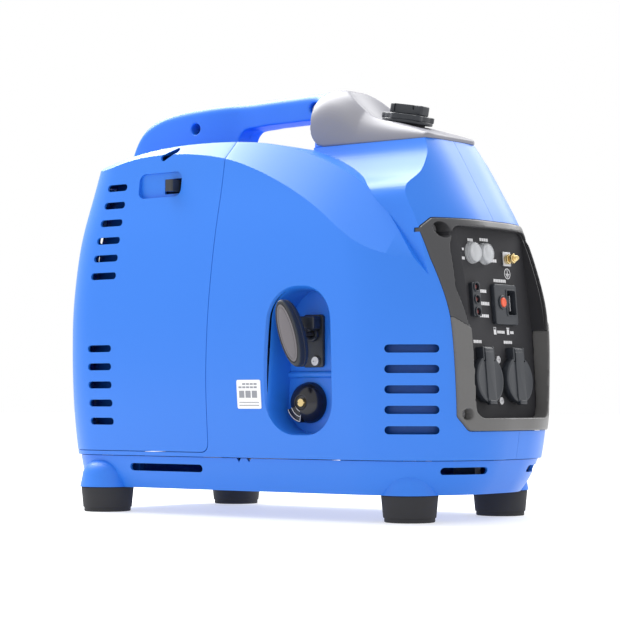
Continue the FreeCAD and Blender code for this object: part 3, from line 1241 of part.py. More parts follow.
def bent_path(points):
    """Straight runs joined by tangent arcs as large as their two runs allow."""
    pts = [V(*p) for p in points]
    edges = []
    start = pts[0]
    for before, here, after in zip(pts, pts[1:], pts[2:]):
        a = (here - before).normalize()
        b = (after - here).normalize()
        cut = 0.45 * min((here - before).Length, (after - here).Length)
        half_turn = a.getAngle(b) / 2
        radius = cut / math.tan(half_turn)
        print("hose bend radius %.1f" % radius)
        p1, p2 = here - a * cut, here + b * cut
        inward = (b - a).normalize()
        middle = here + inward * (radius / math.cos(half_turn) - radius)
        edges.append(Part.LineSegment(start, p1).toShape())
        edges.append(Part.Arc(p1, middle, p2).toShape())
        start = p2
    edges.append(Part.LineSegment(start, pts[-1]).toShape())
    return Part.Wire(edges)


def fuel_hose():
    """Hose from the tank's spigot down to the fuel valve."""
    path = bent_path(HOSE_ROUTE)
    profile = Part.Wire(Part.Circle(V(*HOSE_ROUTE[0]), Z_AXIS, HOSE_R).toShape())
    return path.makePipeShell([profile], True, False)


def inverter():
    """Finned inverter block behind the control panel."""
    block = box(168, 206, -70, 70, 110, 262)
    fins = [box(206, 222, -68, 68, z, z + 3) for z in range(116, 258, 14)]
    legs = [box(172, 202, y - 6, y + 6, FOOT_HEIGHT + TRAY_FLOOR, 112) for y in (-50, 50)]
    return join([block] + fins + legs)


def engine_mount(x, y):
    """Rubber bush with its steel sleeve bolt."""
    bush = rod(13.0, (x, y, FOOT_HEIGHT + 12), (x, y, 62))
    bolt = rod(4.0, (x, y, 60), (x, y, 82))
    return join([bush, bolt])


def label():
    """Thin plate that follows the side wall, left of the pocket."""
    band = level_loft(BODY_LEVELS, 0.8).cut(level_loft(BODY_LEVELS, 0.0))
    return band.common(round_edges(box(3.5, 38.5, -160, -130, 125, 158), 2.0, Y_AXIS))


def door_latch():
    """Sliding finger catch in the door's recess, with the bolt behind it."""
    x0, x1 = FINGER_X[1] - 18, FINGER_X[1] - 6
    back = FINGER_FLOOR_Y + FINGER_WALL + LATCH_GAP
    tab = box(x0, x1, -140, back + 5, FINGER_Z[0] + 6, FINGER_Z[1] - 10)
    tab = round_edges(tab, 2.5, Z_AXIS)
    bolt = box(x0, FINGER_X[1] + 46, back, back + 5, FINGER_Z[0] + 7, FINGER_Z[1] - 11)
    return join([tab, bolt])


# ---------------------------------------------------------------- writing
def build():
    """Every node's shape by name."""
    nodes = covers()
    nodes["base_tray"] = base_tray()
    nodes["rubber_feet"] = group(foot(x, y) for x, y in foot_places())
    nodes["foot_bolts"] = group(foot_bolt(x, y) for x, y in foot_places())
    handle = spine()
    nodes["handle_right_half"] = handle.common(box(-400, 400, -100, 0, 0, 600))
    nodes["handle_left_half"] = handle.common(box(-400, 400, 0, 100, 0, 600))
    nodes["handle_bolts"] = group(handle_bolt(x, z) for x, z in HANDLE_BOLTS)
    nodes["tank_trim_cap"] = trim_cap()
    nodes["fuel_cap"] = fuel_cap()
    nodes["fuel_cap_gasket"] = cap_gasket()
    nodes["fuel_cap_vent_lever"] = vent_lever()
    nodes["fuel_tank"] = fuel_tank()
    nodes["fuel_strainer"] = fuel_strainer()
    nodes["fuel_hose"] = fuel_hose()
    nodes["fuel_valve"] = valve_body()
    nodes["door_latch"] = door_latch()
    nodes["vent_baffles"] = group(baffles())
    nodes["control_panel_bezel"] = bezel()
    nodes["control_panel_plate"] = panel_plate()
    nodes["trim_screws"] = group(panel_screws() + [bracket_screw()])
    nodes["economy_rocker"] = rocker(ROCKER_Y[0])
    nodes["engine_rocker"] = rocker(ROCKER_Y[1])
    nodes["rocker_boots"] = group(rocker_boot(y) for y in ROCKER_Y)
    nodes["ground_terminal"] = ground_terminal()
    nodes["lamp_housing"] = lamp_housing()
    nodes["indicator_lamps"] = group(lamp(z) for z in LAMP_Z)
    nodes["dc_outlet"] = dc_outlet()
    nodes["dc_reset_button"] = reset_button()
    nodes["right_ac_outlet"] = ac_outlet(-1)
    nodes["left_ac_outlet"] = ac_outlet(1)
    nodes["right_outlet_lid"] = outlet_lid(-1)
    nodes["left_outlet_lid"] = outlet_lid(1)
    nodes["rating_label"] = label()
    nodes["starter_grip"] = grip()
    nodes["starter_grip_insert"] = grip_insert(0.0)
    nodes["starter_rope"] = rope()
    nodes["rope_bracket"] = rope_bracket()
    nodes["engine_knob"] = engine_knob()
    nodes["knob_screw"] = knob_screw()
    nodes["recoil_pulley"] = pulley()
    nodes["recoil_housing"] = recoil_housing()
    nodes["recoil_spring"] = recoil_spring()
    nodes["crankshaft"] = crankshaft()
    nodes["flywheel_fan"] = flywheel_fan()
    nodes["alternator_stator"] = stator()
    nodes["crankcase"] = crankcase()
    nodes["cylinder_head"] = cylinder_head()
    nodes["spark_plug"] = spark_plug()
    nodes["ignition_coil"] = ignition_coil()
    nodes["carburettor"] = carburettor()
    nodes["air_filter_box"] = air_filter_box()
    nodes["air_filter_element"] = air_filter_element()
    nodes["oil_dipstick"] = oil_dipstick()
    nodes["muffler"] = muffler()
    nodes["inverter_module"] = inverter()
    nodes["engine_mounts"] = group(engine_mount(x, y) for x, y in ENGINE_MOUNTS)
    return nodes


os.makedirs("parts", exist_ok=True)
for name, shape in build().items():
    solids = shape.Solids
    clean = solids[0] if len(solids) == 1 else Part.makeCompound(solids)
    clean.exportStep("parts/" + name + ".step")
    bounds = clean.BoundBox
    print("%-22s %2d solids  valid %s  volume %9.0f  x %6.1f %6.1f  y %6.1f %6.1f  z %6.1f %6.1f" % (
        name, len(solids), clean.isValid(), clean.Volume, bounds.XMin, bounds.XMax,
        bounds.YMin, bounds.YMax, bounds.ZMin, bounds.ZMax))
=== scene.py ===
"""Looks of a portable closed generator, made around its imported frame.

Lengths in this file are millimetres in the frame of the part; a finished piece is brought to metres
as it is dressed.  +X is the control panel end, -Y the recoil starter side, +Z up.
"""
from __future__ import annotations

import json
import logging
import math
from dataclasses import dataclass
from enum import Enum
from typing import ClassVar, Iterable, Sequence

import bmesh
import bpy
import numpy as np
from mathutils import Matrix, Vector

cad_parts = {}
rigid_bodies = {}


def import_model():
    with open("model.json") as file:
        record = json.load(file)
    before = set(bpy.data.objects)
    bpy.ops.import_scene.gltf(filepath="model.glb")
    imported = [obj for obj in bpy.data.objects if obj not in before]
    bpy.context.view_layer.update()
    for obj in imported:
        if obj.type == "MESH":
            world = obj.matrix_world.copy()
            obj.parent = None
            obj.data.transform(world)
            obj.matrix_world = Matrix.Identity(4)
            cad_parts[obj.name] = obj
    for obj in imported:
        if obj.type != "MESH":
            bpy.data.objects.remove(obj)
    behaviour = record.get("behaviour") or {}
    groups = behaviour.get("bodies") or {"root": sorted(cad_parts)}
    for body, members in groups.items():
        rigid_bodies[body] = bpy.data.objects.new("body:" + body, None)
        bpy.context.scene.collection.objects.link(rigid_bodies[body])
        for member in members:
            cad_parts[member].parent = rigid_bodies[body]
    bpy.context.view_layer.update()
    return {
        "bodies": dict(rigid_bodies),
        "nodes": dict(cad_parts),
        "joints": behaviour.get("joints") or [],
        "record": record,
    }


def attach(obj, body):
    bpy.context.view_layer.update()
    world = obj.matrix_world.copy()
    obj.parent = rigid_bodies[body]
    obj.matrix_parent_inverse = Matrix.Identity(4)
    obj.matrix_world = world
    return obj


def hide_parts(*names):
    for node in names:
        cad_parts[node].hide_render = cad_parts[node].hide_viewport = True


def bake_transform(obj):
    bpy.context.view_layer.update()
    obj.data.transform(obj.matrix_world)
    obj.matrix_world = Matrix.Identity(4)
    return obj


LOG = logging.getLogger("generator")
MM = 0.001
# the control panel's plate leans back; the filler leans forward; two turns of a spun shape
PANEL = Matrix.Translation((257.4, 0.0, 220.0)) @ Matrix.Rotation(math.radians(-5.0), 4, "Y")
FILLER = Matrix.Translation((137.5, 0.0, 455.0)) @ Matrix.Rotation(math.radians(10.0), 4, "Y")
ALONG_X = Matrix.Rotation(math.radians(90.0), 4, "Y")
OUT_OF_SIDE = Matrix.Rotation(math.radians(90.0), 4, "X")
Colour = tuple[float, float, float]
Pair = tuple[float, float]


# ---------------------------------------------------------------- finishes
class Graph:
    """The shader nodes of one material, with short names for what this object needs."""

    def __init__(self, name: str, colour: Colour, **constants: float) -> None:
        """Start a material from its plain values.

        Args:
            name: Name of the material.
            colour: Base colour, linear.
            constants: Values for the shader's own sockets, with _ for each space.
        """
        self.material = bpy.data.materials.new(name)
        self.material.use_nodes = True
        self.material.diffuse_color = (*colour, 1.0)
        self.tree = self.material.node_tree
        self.shader = self.tree.nodes["Principled BSDF"]
        self.shader.inputs["Base Color"].default_value = (*colour, 1.0)
        for key, value in constants.items():
            self.shader.inputs[key.replace("_", " ")].default_value = value
        self.coords = self.tree.nodes.new("ShaderNodeTexCoord").outputs["Object"]

    def mapped(self, stretch: Sequence[float], turn: Sequence[float] = (0, 0, 0)) -> bpy.types.NodeSocket:
        """Object coordinates, stretched and turned."""
        node = self.tree.nodes.new("ShaderNodeMapping")
        node.inputs["Scale"].default_value = stretch
        node.inputs["Rotation"].default_value = turn
        self.tree.links.new(self.coords, node.inputs["Vector"])
        return node.outputs["Vector"]

    def noise(self, scale: float, detail: float = 3.0,
              vector: bpy.types.NodeSocket | None = None) -> bpy.types.NodeSocket:
        """Cloudy pattern, from 0 to 1."""
        node = self.tree.nodes.new("ShaderNodeTexNoise")
        node.inputs["Scale"].default_value = scale
        node.inputs["Detail"].default_value = detail
        self.tree.links.new(vector or self.coords, node.inputs["Vector"])
        return node.outputs["Fac"]

    def cells(self, scale: float, vector: bpy.types.NodeSocket | None = None) -> bpy.types.NodeSocket:
        """Distance to the nearest of many scattered points."""
        node = self.tree.nodes.new("ShaderNodeTexVoronoi")
        node.inputs["Scale"].default_value = scale
        self.tree.links.new(vector or self.coords, node.inputs["Vector"])
        return node.outputs["Distance"]

    def bands(self, scale: float, direction: str = "DIAGONAL", distortion: float = 0.0,
              vector: bpy.types.NodeSocket | None = None) -> bpy.types.NodeSocket:
        """Regular stripes along one axis."""
        node = self.tree.nodes.new("ShaderNodeTexWave")
        node.bands_direction = direction
        node.inputs["Scale"].default_value = scale
        node.inputs["Distortion"].default_value = distortion
        self.tree.links.new(vector or self.coords, node.inputs["Vector"])
        return node.outputs["Fac"]

    def spread(self, value: bpy.types.NodeSocket, low: float, high: float,
               start: float = 0.3, end: float = 0.7) -> bpy.types.NodeSocket:
        """Take a pattern from one range to another."""
        node = self.tree.nodes.new("ShaderNodeMapRange")
        for key, number in (("From Min", start), ("From Max", end), ("To Min", low), ("To Max", high)):
            node.inputs[key].default_value = number
        self.tree.links.new(value, node.inputs["Value"])
        return node.outputs["Result"]

    def between(self, factor: bpy.types.NodeSocket, first: Colour | bpy.types.NodeSocket,
                second: Colour) -> bpy.types.NodeSocket:
        """Mix of two colours by a pattern."""
        node = self.tree.nodes.new("ShaderNodeMix")
        node.data_type = "RGBA"
        self.tree.links.new(factor, node.inputs["Factor"])
        if isinstance(first, tuple):
            node.inputs[6].default_value = (*first, 1.0)
        else:
            self.tree.links.new(first, node.inputs[6])
        node.inputs[7].default_value = (*second, 1.0)
        return node.outputs[2]

    def soft_edges(self, radius: float) -> bpy.types.NodeSocket:
        """Normal with the small round of moulded edges, radius in metres."""
        node = self.tree.nodes.new("ShaderNodeBevel")
        node.samples = 4
        node.inputs["Radius"].default_value = radius
        return node.outputs["Normal"]

    def relief(self, height: bpy.types.NodeSocket, depth: float, strength: float = 1.0,
               normal: bpy.types.NodeSocket | None = None) -> bpy.types.NodeSocket:
        """Bump from a pattern, depth in metres."""
        node = self.tree.nodes.new("ShaderNodeBump")
        node.inputs["Strength"].default_value = strength
        node.inputs["Distance"].default_value = depth
        self.tree.links.new(height, node.inputs["Height"])
        if normal is not None:
            self.tree.links.new(normal, node.inputs["Normal"])
        return node.outputs["Normal"]

    def wire(self, **sockets: bpy.types.NodeSocket) -> bpy.types.Material:
        """Connect patterns to the shader and return the material."""
        for key, socket in sockets.items():
            self.tree.links.new(socket, self.shader.inputs[key.replace("_", " ")])
        return self.material


@dataclass(frozen=True)
class Moulded:
    """Injection moulded plastic: fine spark grain, slight tone changes, soft edges."""

    name: str
    slot: str
    colour: Colour
    roughness: float = 0.4
    grain: float = 0.9          # mm across one grain
    depth: float = 0.02         # mm
    tone: float = 0.10          # share by which the tone falls
    scuff: float = 0.04         # how far scuffs change the roughness
    coat: float = 0.0
    edge: float = 0.6           # mm, round of the edges

    def make(self) -> bpy.types.Material:
        """Build the material."""
        graph = Graph(self.name, self.colour, Specular_IOR_Level=0.32, Coat_Weight=self.coat,
                      Coat_Roughness=0.12)
        darker = tuple(c * (1.0 - self.tone) for c in self.colour)
        clouds = graph.noise(9.0, 4.0)
        colour = graph.between(graph.spread(clouds, 0.0, 1.0), self.colour, darker)
        specks = graph.spread(graph.noise(1400.0, 2.0), 0.0, 0.35, 0.55, 0.8)
        colour = graph.between(specks, colour, tuple(min(1.0, c * 1.25 + 0.004) for c in self.colour))
        wear = graph.noise(60.0, 6.0, graph.mapped((1.0, 1.0, 0.35)))
        rough = graph.spread(wear, self.roughness - self.scuff, self.roughness + self.scuff)
        grain = graph.noise(1.0 / (self.grain * MM), 2.0)
        normal = graph.relief(grain, self.depth * MM, 0.6, graph.soft_edges(self.edge * MM))
        return graph.wire(Base_Color=colour, Roughness=rough, Normal=normal)


@dataclass(frozen=True)
class Rubber:
    """Dull rubber with a dusty bloom and a coarse skin."""

    name: str
    slot: str
    colour: Colour
    bloom: Colour = (0.11, 0.11, 0.115)
    roughness: float = 0.72

    def make(self) -> bpy.types.Material:
        """Build the material."""
        graph = Graph(self.name, self.colour, Sheen_Weight=0.15)
        dust = graph.spread(graph.noise(70.0, 7.0), 0.0, 0.35, 0.5, 0.85)
        rough = graph.spread(graph.noise(180.0, 3.0), self.roughness - 0.08, self.roughness + 0.12)
        normal = graph.relief(graph.cells(900.0), 0.00006, 0.5, graph.soft_edges(0.0008))
        return graph.wire(Base_Color=graph.between(dust, self.colour, self.bloom), Roughness=rough,
                          Normal=normal)


class Surface(Enum):
    """How a metal is finished."""

    GROUND = "ground"
    CAST = "cast"
    PLATED = "plated"
    WOUND = "wound"


@dataclass(frozen=True)
class Metal:
    """Metal with the marks of how it was made."""

    name: str
    slot: str
    colour: Colour
    surface: Surface = Surface.PLATED
    roughness: float = 0.3
    metallic: float = 1.0

    def make(self) -> bpy.types.Material:
        """Build the material."""
        graph = Graph(self.name, self.colour, Metallic=self.metallic)
        stain = graph.spread(graph.noise(45.0, 6.0), 0.0, 0.6, 0.45, 0.8)
        colour = graph.between(stain, self.colour, tuple(c * 0.62 for c in self.colour))
        soft = graph.soft_edges(0.0005)
        if self.surface is Surface.CAST:
            marks, depth = graph.noise(420.0, 4.0), 0.00025
        elif self.surface is Surface.GROUND:
            marks, depth = graph.noise(60.0, 2.0, graph.mapped((60.0, 1.0, 1.0))), 0.00003
        elif self.surface is Surface.WOUND:
            marks, depth = graph.bands(260.0, "Y", 0.4), 0.0004
        else:
            marks, depth = graph.noise(900.0, 2.0), 0.00002
        rough = graph.spread(marks, self.roughness * 0.8, self.roughness * 1.3)
        return graph.wire(Base_Color=colour, Roughness=rough, Normal=graph.relief(marks, depth, 0.6, soft))


@dataclass(frozen=True)
class Clear:
    """Clear or tinted moulding that lets light through."""

    name: str
    slot: str
    colour: Colour
    passes: float = 0.9
    roughness: float = 0.06

    def make(self) -> bpy.types.Material:
        """Build the material."""
        graph = Graph(self.name, self.colour, Transmission_Weight=self.passes, IOR=1.45)
        smear = graph.noise(160.0, 4.0)
        rough = graph.spread(smear, self.roughness, self.roughness + 0.1)
        return graph.wire(Roughness=rough, Normal=graph.relief(smear, 0.00004, 0.5))


@dataclass(frozen=True)
class Foam:
    """Open foam of the air filter."""

    name: str
    slot: str
    colour: Colour

    def make(self) -> bpy.types.Material:
        """Build the material."""
        graph = Graph(self.name, self.colour, Roughness=0.95)
        cells = graph.cells(420.0)
        # painted shade: the pits at the cells' centres, which the bump sinks, are darkened to 0.3 of the
        # colour
        colour = graph.between(graph.spread(cells, 0.0, 1.0, 0.1, 0.6), tuple(c * 0.3 for c in self.colour),
                               self.colour)
        return graph.wire(Base_Color=colour, Normal=graph.relief(cells, 0.001, 0.9))


@dataclass(frozen=True)
class Braid:
    """Braided cord: two sets of strands that cross."""

    name: str
    slot: str
    colour: Colour
    fleck: Colour = (0.3, 0.3, 0.32)

    def make(self) -> bpy.types.Material:
        """Build the material."""
        graph = Graph(self.name, self.colour, Roughness=0.8, Sheen_Weight=0.3)
        left = graph.bands(160.0, "DIAGONAL", 0.5)
        right = graph.bands(160.0, "DIAGONAL", 0.5, graph.mapped((-1.0, 1.0, 1.0)))
        cross = graph.tree.nodes.new("ShaderNodeMath")
        cross.operation = "MULTIPLY"
        graph.tree.links.new(left, cross.inputs[0])
        graph.tree.links.new(right, cross.inputs[1])
        height = cross.outputs[0]
        fleck = graph.spread(graph.cells(220.0), 0.4, 0.0, 0.05, 0.2)
        return graph.wire(Base_Color=graph.between(fleck, self.colour, self.fleck),
                          Normal=graph.relief(height, 0.0005, 0.8))


class Finish(Enum):
    """Every finish of the object."""

    COVER = Moulded("cover_blue", "cover_blue", (0.001, 0.060, 0.27), 0.34, 0.8, 0.018, 0.10, 0.04,
                    0.12, 1.3)
    # painted light: a lighter copy of the cover blue, brightened against the shade behind the louvres
    RECESS = Moulded("vent_blue_painted_light", "cover_blue", (0.003, 0.070, 0.33), 0.42, edge=0.5)
    TRIM = Moulded("trim_grey", "trim_grey", (0.052, 0.054, 0.064), 0.40, 0.8, 0.03, 0.1, edge=1.5)
    INLAY = Moulded("grip_grey", "grip_grey", (0.026, 0.026, 0.031), 0.62, 1.0, 0.05, edge=0.4)
    BEZEL = Moulded("bezel_charcoal", "bezel_charcoal", (0.010, 0.010, 0.011), 0.38, 0.7, 0.02, edge=1.2)
    # painted reflection: a lighter grey copy of the charcoal bezel, for the light the legs' faces reflect
    LEGS = Moulded("bezel_grey_painted_highlight", "bezel_charcoal", (0.135, 0.133, 0.132), 0.36, 0.7, 0.02, edge=1.2)
    PANEL = Moulded("panel_black", "panel_black", (0.008, 0.008, 0.009), 0.46, 0.6, 0.02, edge=0.5)
    BLACK = Moulded("black_plastic", "black_plastic", (0.005, 0.0055, 0.007), 0.46, 0.8, 0.03, edge=0.7)
    GLOSS = Moulded("gloss_black", "gloss_black", (0.004, 0.004, 0.005), 0.14, 1.2, 0.004, coat=0.6,
                    edge=0.8)
    TANK = Moulded("tank_plastic", "tank_plastic", (0.03, 0.03, 0.03), 0.55, edge=1.0)
    BUTTON = Moulded("button_red", "button_red", (0.80, 0.10, 0.03), 0.35, edge=0.4)
    LABEL = Moulded("label_white", "label_white", (0.80, 0.80, 0.82), 0.38, 0.5, 0.003, 0.03, edge=0.1)
    # white print, and also the painted highlight down the rockers
    PRINT = Moulded("print_white_and_highlight", "label_white", (0.72, 0.72, 0.74), 0.5, 0.4, 0.002, 0.05, edge=0.1)
    INK = Moulded("print_grey", "label_white", (0.30, 0.31, 0.34), 0.5, 0.4, 0.002, 0.05, edge=0.1)
    SOLE = Rubber("rubber", "rubber", (0.004, 0.004, 0.005))
    ZINC = Metal("zinc_steel", "zinc_steel", (0.56, 0.57, 0.60), Surface.PLATED, 0.28)
    BRASS = Metal("brass", "brass", (0.78, 0.56, 0.26), Surface.PLATED, 0.26)
    DARK_STEEL = Metal("recoil_steel", "recoil_steel", (0.045, 0.045, 0.05), Surface.PLATED, 0.45, 0.6)
    SHAFT = Metal("shaft_steel", "shaft_steel", (0.52, 0.52, 0.54), Surface.GROUND, 0.22)
    ALLOY = Metal("cast_alloy", "cast_alloy", (0.50, 0.50, 0.52), Surface.CAST, 0.5)
    COPPER = Metal("winding_copper", "winding_copper", (0.70, 0.30, 0.13), Surface.WOUND, 0.35)
    MUFFLER = Metal("muffler_steel", "muffler_steel", (0.36, 0.34, 0.32), Surface.CAST, 0.45)
    BOOT = Clear("boot_clear", "boot_clear", (0.86, 0.88, 0.90), 0.92)
    LENS = Clear("lamp_red", "lamp_red", (0.16, 0.02, 0.02), 0.35, 0.1)
    FOAM = Foam("filter_foam", "filter_foam", (0.10, 0.10, 0.11))
    ROPE = Braid("rope_black", "rope_black", (0.025, 0.025, 0.028))

    def material(self) -> bpy.types.Material:
        """The frame's own material of this name where it brings one, or else one made once."""
        return bpy.data.materials.get(self.value.name) or self.value.make()


# ---------------------------------------------------------------- mesh tools
def spline(stations: Sequence[Sequence[float]], count: int) -> list[tuple[float, ...]]:
    """Points on the natural cubic line through stations.

    Args:
        stations: Points of any one dimension.
        count: How many points to return, spread evenly along the chords.

    Returns:
        The points, ends included.
    """
    rows = np.array(stations, float)
    knots = np.concatenate([[0.0], np.cumsum(np.linalg.norm(np.diff(rows, axis=0), axis=1))])
    gaps = np.diff(knots)
    size = len(rows)
    matrix, right = np.eye(size), np.zeros_like(rows)
    for i in range(1, size - 1):
        matrix[i, i - 1:i + 2] = gaps[i - 1], 2 * (gaps[i - 1] + gaps[i]), gaps[i]
        right[i] = 6 * ((rows[i + 1] - rows[i]) / gaps[i] - (rows[i] - rows[i - 1]) / gaps[i - 1])
    bend = np.linalg.solve(matrix, right)
    made = []
    for t in np.linspace(0.0, knots[-1], count):
        i = min(int(np.searchsorted(knots, t, "right")) - 1, size - 2)
        a, b, g = knots[i + 1] - t, t - knots[i], gaps[i]
        made.append(tuple((bend[i] * a ** 3 + bend[i + 1] * b ** 3) / (6 * g)
                          + (rows[i] / g - bend[i] * g / 6) * a
                          + (rows[i + 1] / g - bend[i + 1] * g / 6) * b))
    return made


def rounded(corners: Sequence[Sequence[float]], steps: int = 6) -> list[Pair]:
    """A flat outline with rounded corners.

    Args:
        corners: Points as (x, y, radius), in order round the outline.
        steps: Points on each round.

    Returns:
        The outline's points.
    """
    made: list[Pair] = []
    for i, (x, y, radius) in enumerate(corners):
        here = Vector((x, y))
        back = (Vector(corners[i - 1][:2]) - here).normalized()
        on = (Vector(corners[(i + 1) % len(corners)][:2]) - here).normalized()
        if radius <= 0:
            made.append((x, y))
            continue
        half = back.angle(on) / 2
        reach = radius / math.tan(half)
        centre = here + (back + on).normalized() * radius / math.sin(half)
        first, last = here + back * reach - centre, here + on * reach - centre
        turn = first.angle_signed(last)
        for k in range(steps + 1):
            a = -turn * k / steps
            made.append((centre.x + first.x * math.cos(a) - first.y * math.sin(a),
                         centre.y + first.x * math.sin(a) + first.y * math.cos(a)))
    return made


def rounded_box(x0: float, x1: float, y0: float, y1: float, radius: float, steps: int = 6) -> list[Pair]:
    """Outline of a flat box with four equal round corners."""
    return rounded([(x0, y0, radius), (x1, y0, radius), (x1, y1, radius), (x0, y1, radius)], steps)


class Solid:
    """A closed mesh under construction, held by a working object until the next sweep."""

    made: ClassVar[list[bpy.types.Object]] = []

    def __init__(self, bm: bmesh.types.BMesh) -> None:
        """Take over a bmesh."""
        bmesh.ops.recalc_face_normals(bm, faces=bm.faces)
        mesh = bpy.data.meshes.new("work")
        bm.to_mesh(mesh)
        bm.free()
        self.item = bpy.data.objects.new("work", mesh)
        bpy.context.scene.collection.objects.link(self.item)
        self.made.append(self.item)

    def _combine(self, other: "Solid", how: str) -> "Solid":
        """Carve with another solid, which is kept."""
        modifier = self.item.modifiers.new("carve", "BOOLEAN")
        modifier.operation = how
        modifier.solver = "MANIFOLD"
        modifier.object = other.item
        return self._settle()

    def cut(self, *others: "Solid") -> "Solid":
        """Take other solids away."""
        for other in others:
            self._combine(other, "DIFFERENCE")
        return self

    def meet(self, other: "Solid") -> "Solid":
        """Keep what is inside another solid too."""
        return self._combine(other, "INTERSECT")

    def add(self, *others: "Solid") -> "Solid":
        """Unite with other solids."""
        for other in others:
            self._combine(other, "UNION")
        return self

    def copy(self) -> "Solid":
        """A separate solid of the same shape."""
        return Solid(self.bm())

    def bm(self) -> bmesh.types.BMesh:
        """The shape as a bmesh."""
        bm = bmesh.new()
        bm.from_mesh(self.item.data)
        return bm

    def soften(self, voxel: float, rounds: int) -> "Solid":
        """Melt every edge into a soft round.

        Args:
            voxel: Size of the even mesh that the shape is rebuilt with.
            rounds: How often it is smoothed.

        Returns:
            The same solid.
        """
        even = self.item.modifiers.new("even", "REMESH")
        even.mode, even.voxel_size = "VOXEL", voxel
        soft = self.item.modifiers.new("soft", "SMOOTH")
        soft.factor, soft.iterations = 0.5, rounds
        return self._settle()

    def _settle(self) -> "Solid":
        """Apply the modifiers."""
        graph = bpy.context.evaluated_depsgraph_get()
        mesh = bpy.data.meshes.new_from_object(self.item.evaluated_get(graph))
        old = self.item.data
        self.item.modifiers.clear()
        self.item.data = mesh
        bpy.data.meshes.remove(old)
        return self

    @classmethod
    def sweep(cls) -> None:
        """Remove every working object made so far."""
        while cls.made:
            item = cls.made.pop()
            mesh = item.data
            bpy.data.objects.remove(item)
            bpy.data.meshes.remove(mesh)


def loft(rings: Sequence[Sequence[Vector]]) -> Solid:
    """Skin a stack of rings, each extruded from the one before, with both ends closed."""
    bm = bmesh.new()
    verts = [bm.verts.new(point) for point in rings[0]]
    edges = [bm.edges.new(pair) for pair in zip(verts, verts[1:] + verts[:1])]
    bm.faces.new(verts)
    for ring in rings[1:]:
        made = bmesh.ops.extrude_edge_only(bm, edges=edges)["geom"]
        fresh = {item for item in made if isinstance(item, bmesh.types.BMVert)}
        verts = [next(e.other_vert(v) for e in v.link_edges if e.other_vert(v) in fresh) for v in verts]
        for vert, point in zip(verts, ring):
            vert.co = point
        edges = [item for item in made if isinstance(item, bmesh.types.BMEdge)
                 and item.verts[0] in fresh and item.verts[1] in fresh]
    bm.faces.new(verts)
    return Solid(bm)


def prism(outline: Iterable[Sequence[float]], axis: str, start: float, end: float) -> Solid:
    """Pull a flat outline along an axis.

    Args:
        outline: Points in the two other axes, in the order x, y, z.
        axis: "x", "y" or "z".
        start: Where the prism begins on the axis.
        end: Where it ends.

    Returns:
        The closed prism.
    """
    def place(point: Sequence[float], level: float) -> Vector:
        a, b = point[0], point[1]
        return Vector({"x": (level, a, b), "y": (a, level, b), "z": (a, b, level)}[axis])
    points = list(outline)
    return loft([[place(p, start) for p in points], [place(p, end) for p in points]])


def block(x0: float, x1: float, y0: float, y1: float, z0: float, z1: float) -> Solid:
    """Box between two corners."""
    return Solid(bar(x0, x1, y0, y1, z0, z1))


def turned(profile: Sequence[Pair], steps: int = 48) -> bmesh.types.BMesh:
    """Spin a profile of (radius, height) about the z axis into a closed shape."""
    bm = bmesh.new()
    verts = [bm.verts.new((r, 0.0, h)) for r, h in profile]
    edges = [bm.edges.new(pair) for pair in zip(verts, verts[1:])]
    bmesh.ops.spin(bm, geom=verts + edges, axis=(0, 0, 1), cent=(0, 0, 0), angle=math.tau,
                   steps=steps, use_merge=True)
    bmesh.ops.remove_doubles(bm, verts=bm.verts, dist=1e-4)
    bmesh.ops.holes_fill(bm, edges=bm.edges, sides=0)
    bmesh.ops.recalc_face_normals(bm, faces=bm.faces)
    return bm


def rod(radius: float, start: Sequence[float], end: Sequence[float], steps: int = 32) -> Solid:
    """Round bar from one point to another."""
    run = Vector(end) - Vector(start)
    bm = turned([(0.0, 0.0), (radius, 0.0), (radius, run.length), (0.0, run.length)], steps)
    turn = Vector((0, 0, 1)).rotation_difference(run).to_matrix().to_4x4()
    return Solid(moved(bm, Matrix.Translation(start) @ turn))


def ease(solid: Solid, width: float, angle: float = 30.0) -> Solid:
    """Round a solid's crisp edges.

    Args:
        solid: The solid.
        width: Width of the round.
        angle: Angle in degrees from which an edge counts as crisp.

    Returns:
        The same solid.
    """
    bm = solid.bm()
    crisp = [e for e in bm.edges if len(e.link_faces) == 2 and e.calc_face_angle(0.0) > math.radians(angle)]
    bmesh.ops.bevel(bm, geom=crisp, offset=width, offset_type="OFFSET", segments=3, profile=0.5,
                    affect="EDGES", material=-1, clamp_overlap=True)
    bm.to_mesh(solid.item.data)
    bm.free()
    return solid


def moved(bm: bmesh.types.BMesh, place: Matrix) -> bmesh.types.BMesh:
    """Put a mesh in its place."""
    bmesh.ops.transform(bm, matrix=place, verts=bm.verts)
    return bm


def out_of_plate(profile: Sequence[Pair], y: float, z: float, steps: int) -> bmesh.types.BMesh:
    """Spin a profile about an axis that stands on the panel's plate."""
    return moved(turned(profile, steps), Matrix.Translation((0, y, z)) @ ALONG_X)


def merged(parts: Iterable[bmesh.types.BMesh]) -> bmesh.types.BMesh:
    """Gather separate meshes into one."""
    whole = bmesh.new()
    for part in parts:
        mesh = bpy.data.meshes.new("part")
        part.to_mesh(mesh)
        part.free()
        whole.from_mesh(mesh)
        bpy.data.meshes.remove(mesh)
    return whole


def bar(x0: float, x1: float, y0: float, y1: float, z0: float, z1: float) -> bmesh.types.BMesh:
    """Plain bar between two corners."""
    bm = bmesh.new()
    bmesh.ops.create_cube(bm, size=1.0)
    bmesh.ops.scale(bm, vec=(x1 - x0, y1 - y0, z1 - z0), verts=bm.verts)
    bmesh.ops.translate(bm, vec=((x0 + x1) / 2, (y0 + y1) / 2, (z0 + z1) / 2), verts=bm.verts)
    return bm


def slot_outline(x0: float, x1: float, z: float, height: float) -> list[Pair]:
    """Outline of a slot with round ends."""
    h = height / 2
    return rounded_box(x0, x1, z - h, z + h, h * 0.99, 5)


def mirror(solid: Solid) -> Solid:
    """The same solid on the other side of the middle plane."""
    bm = solid.bm()
    bmesh.ops.scale(bm, vec=(1, -1, 1), verts=bm.verts)
    return Solid(bm)


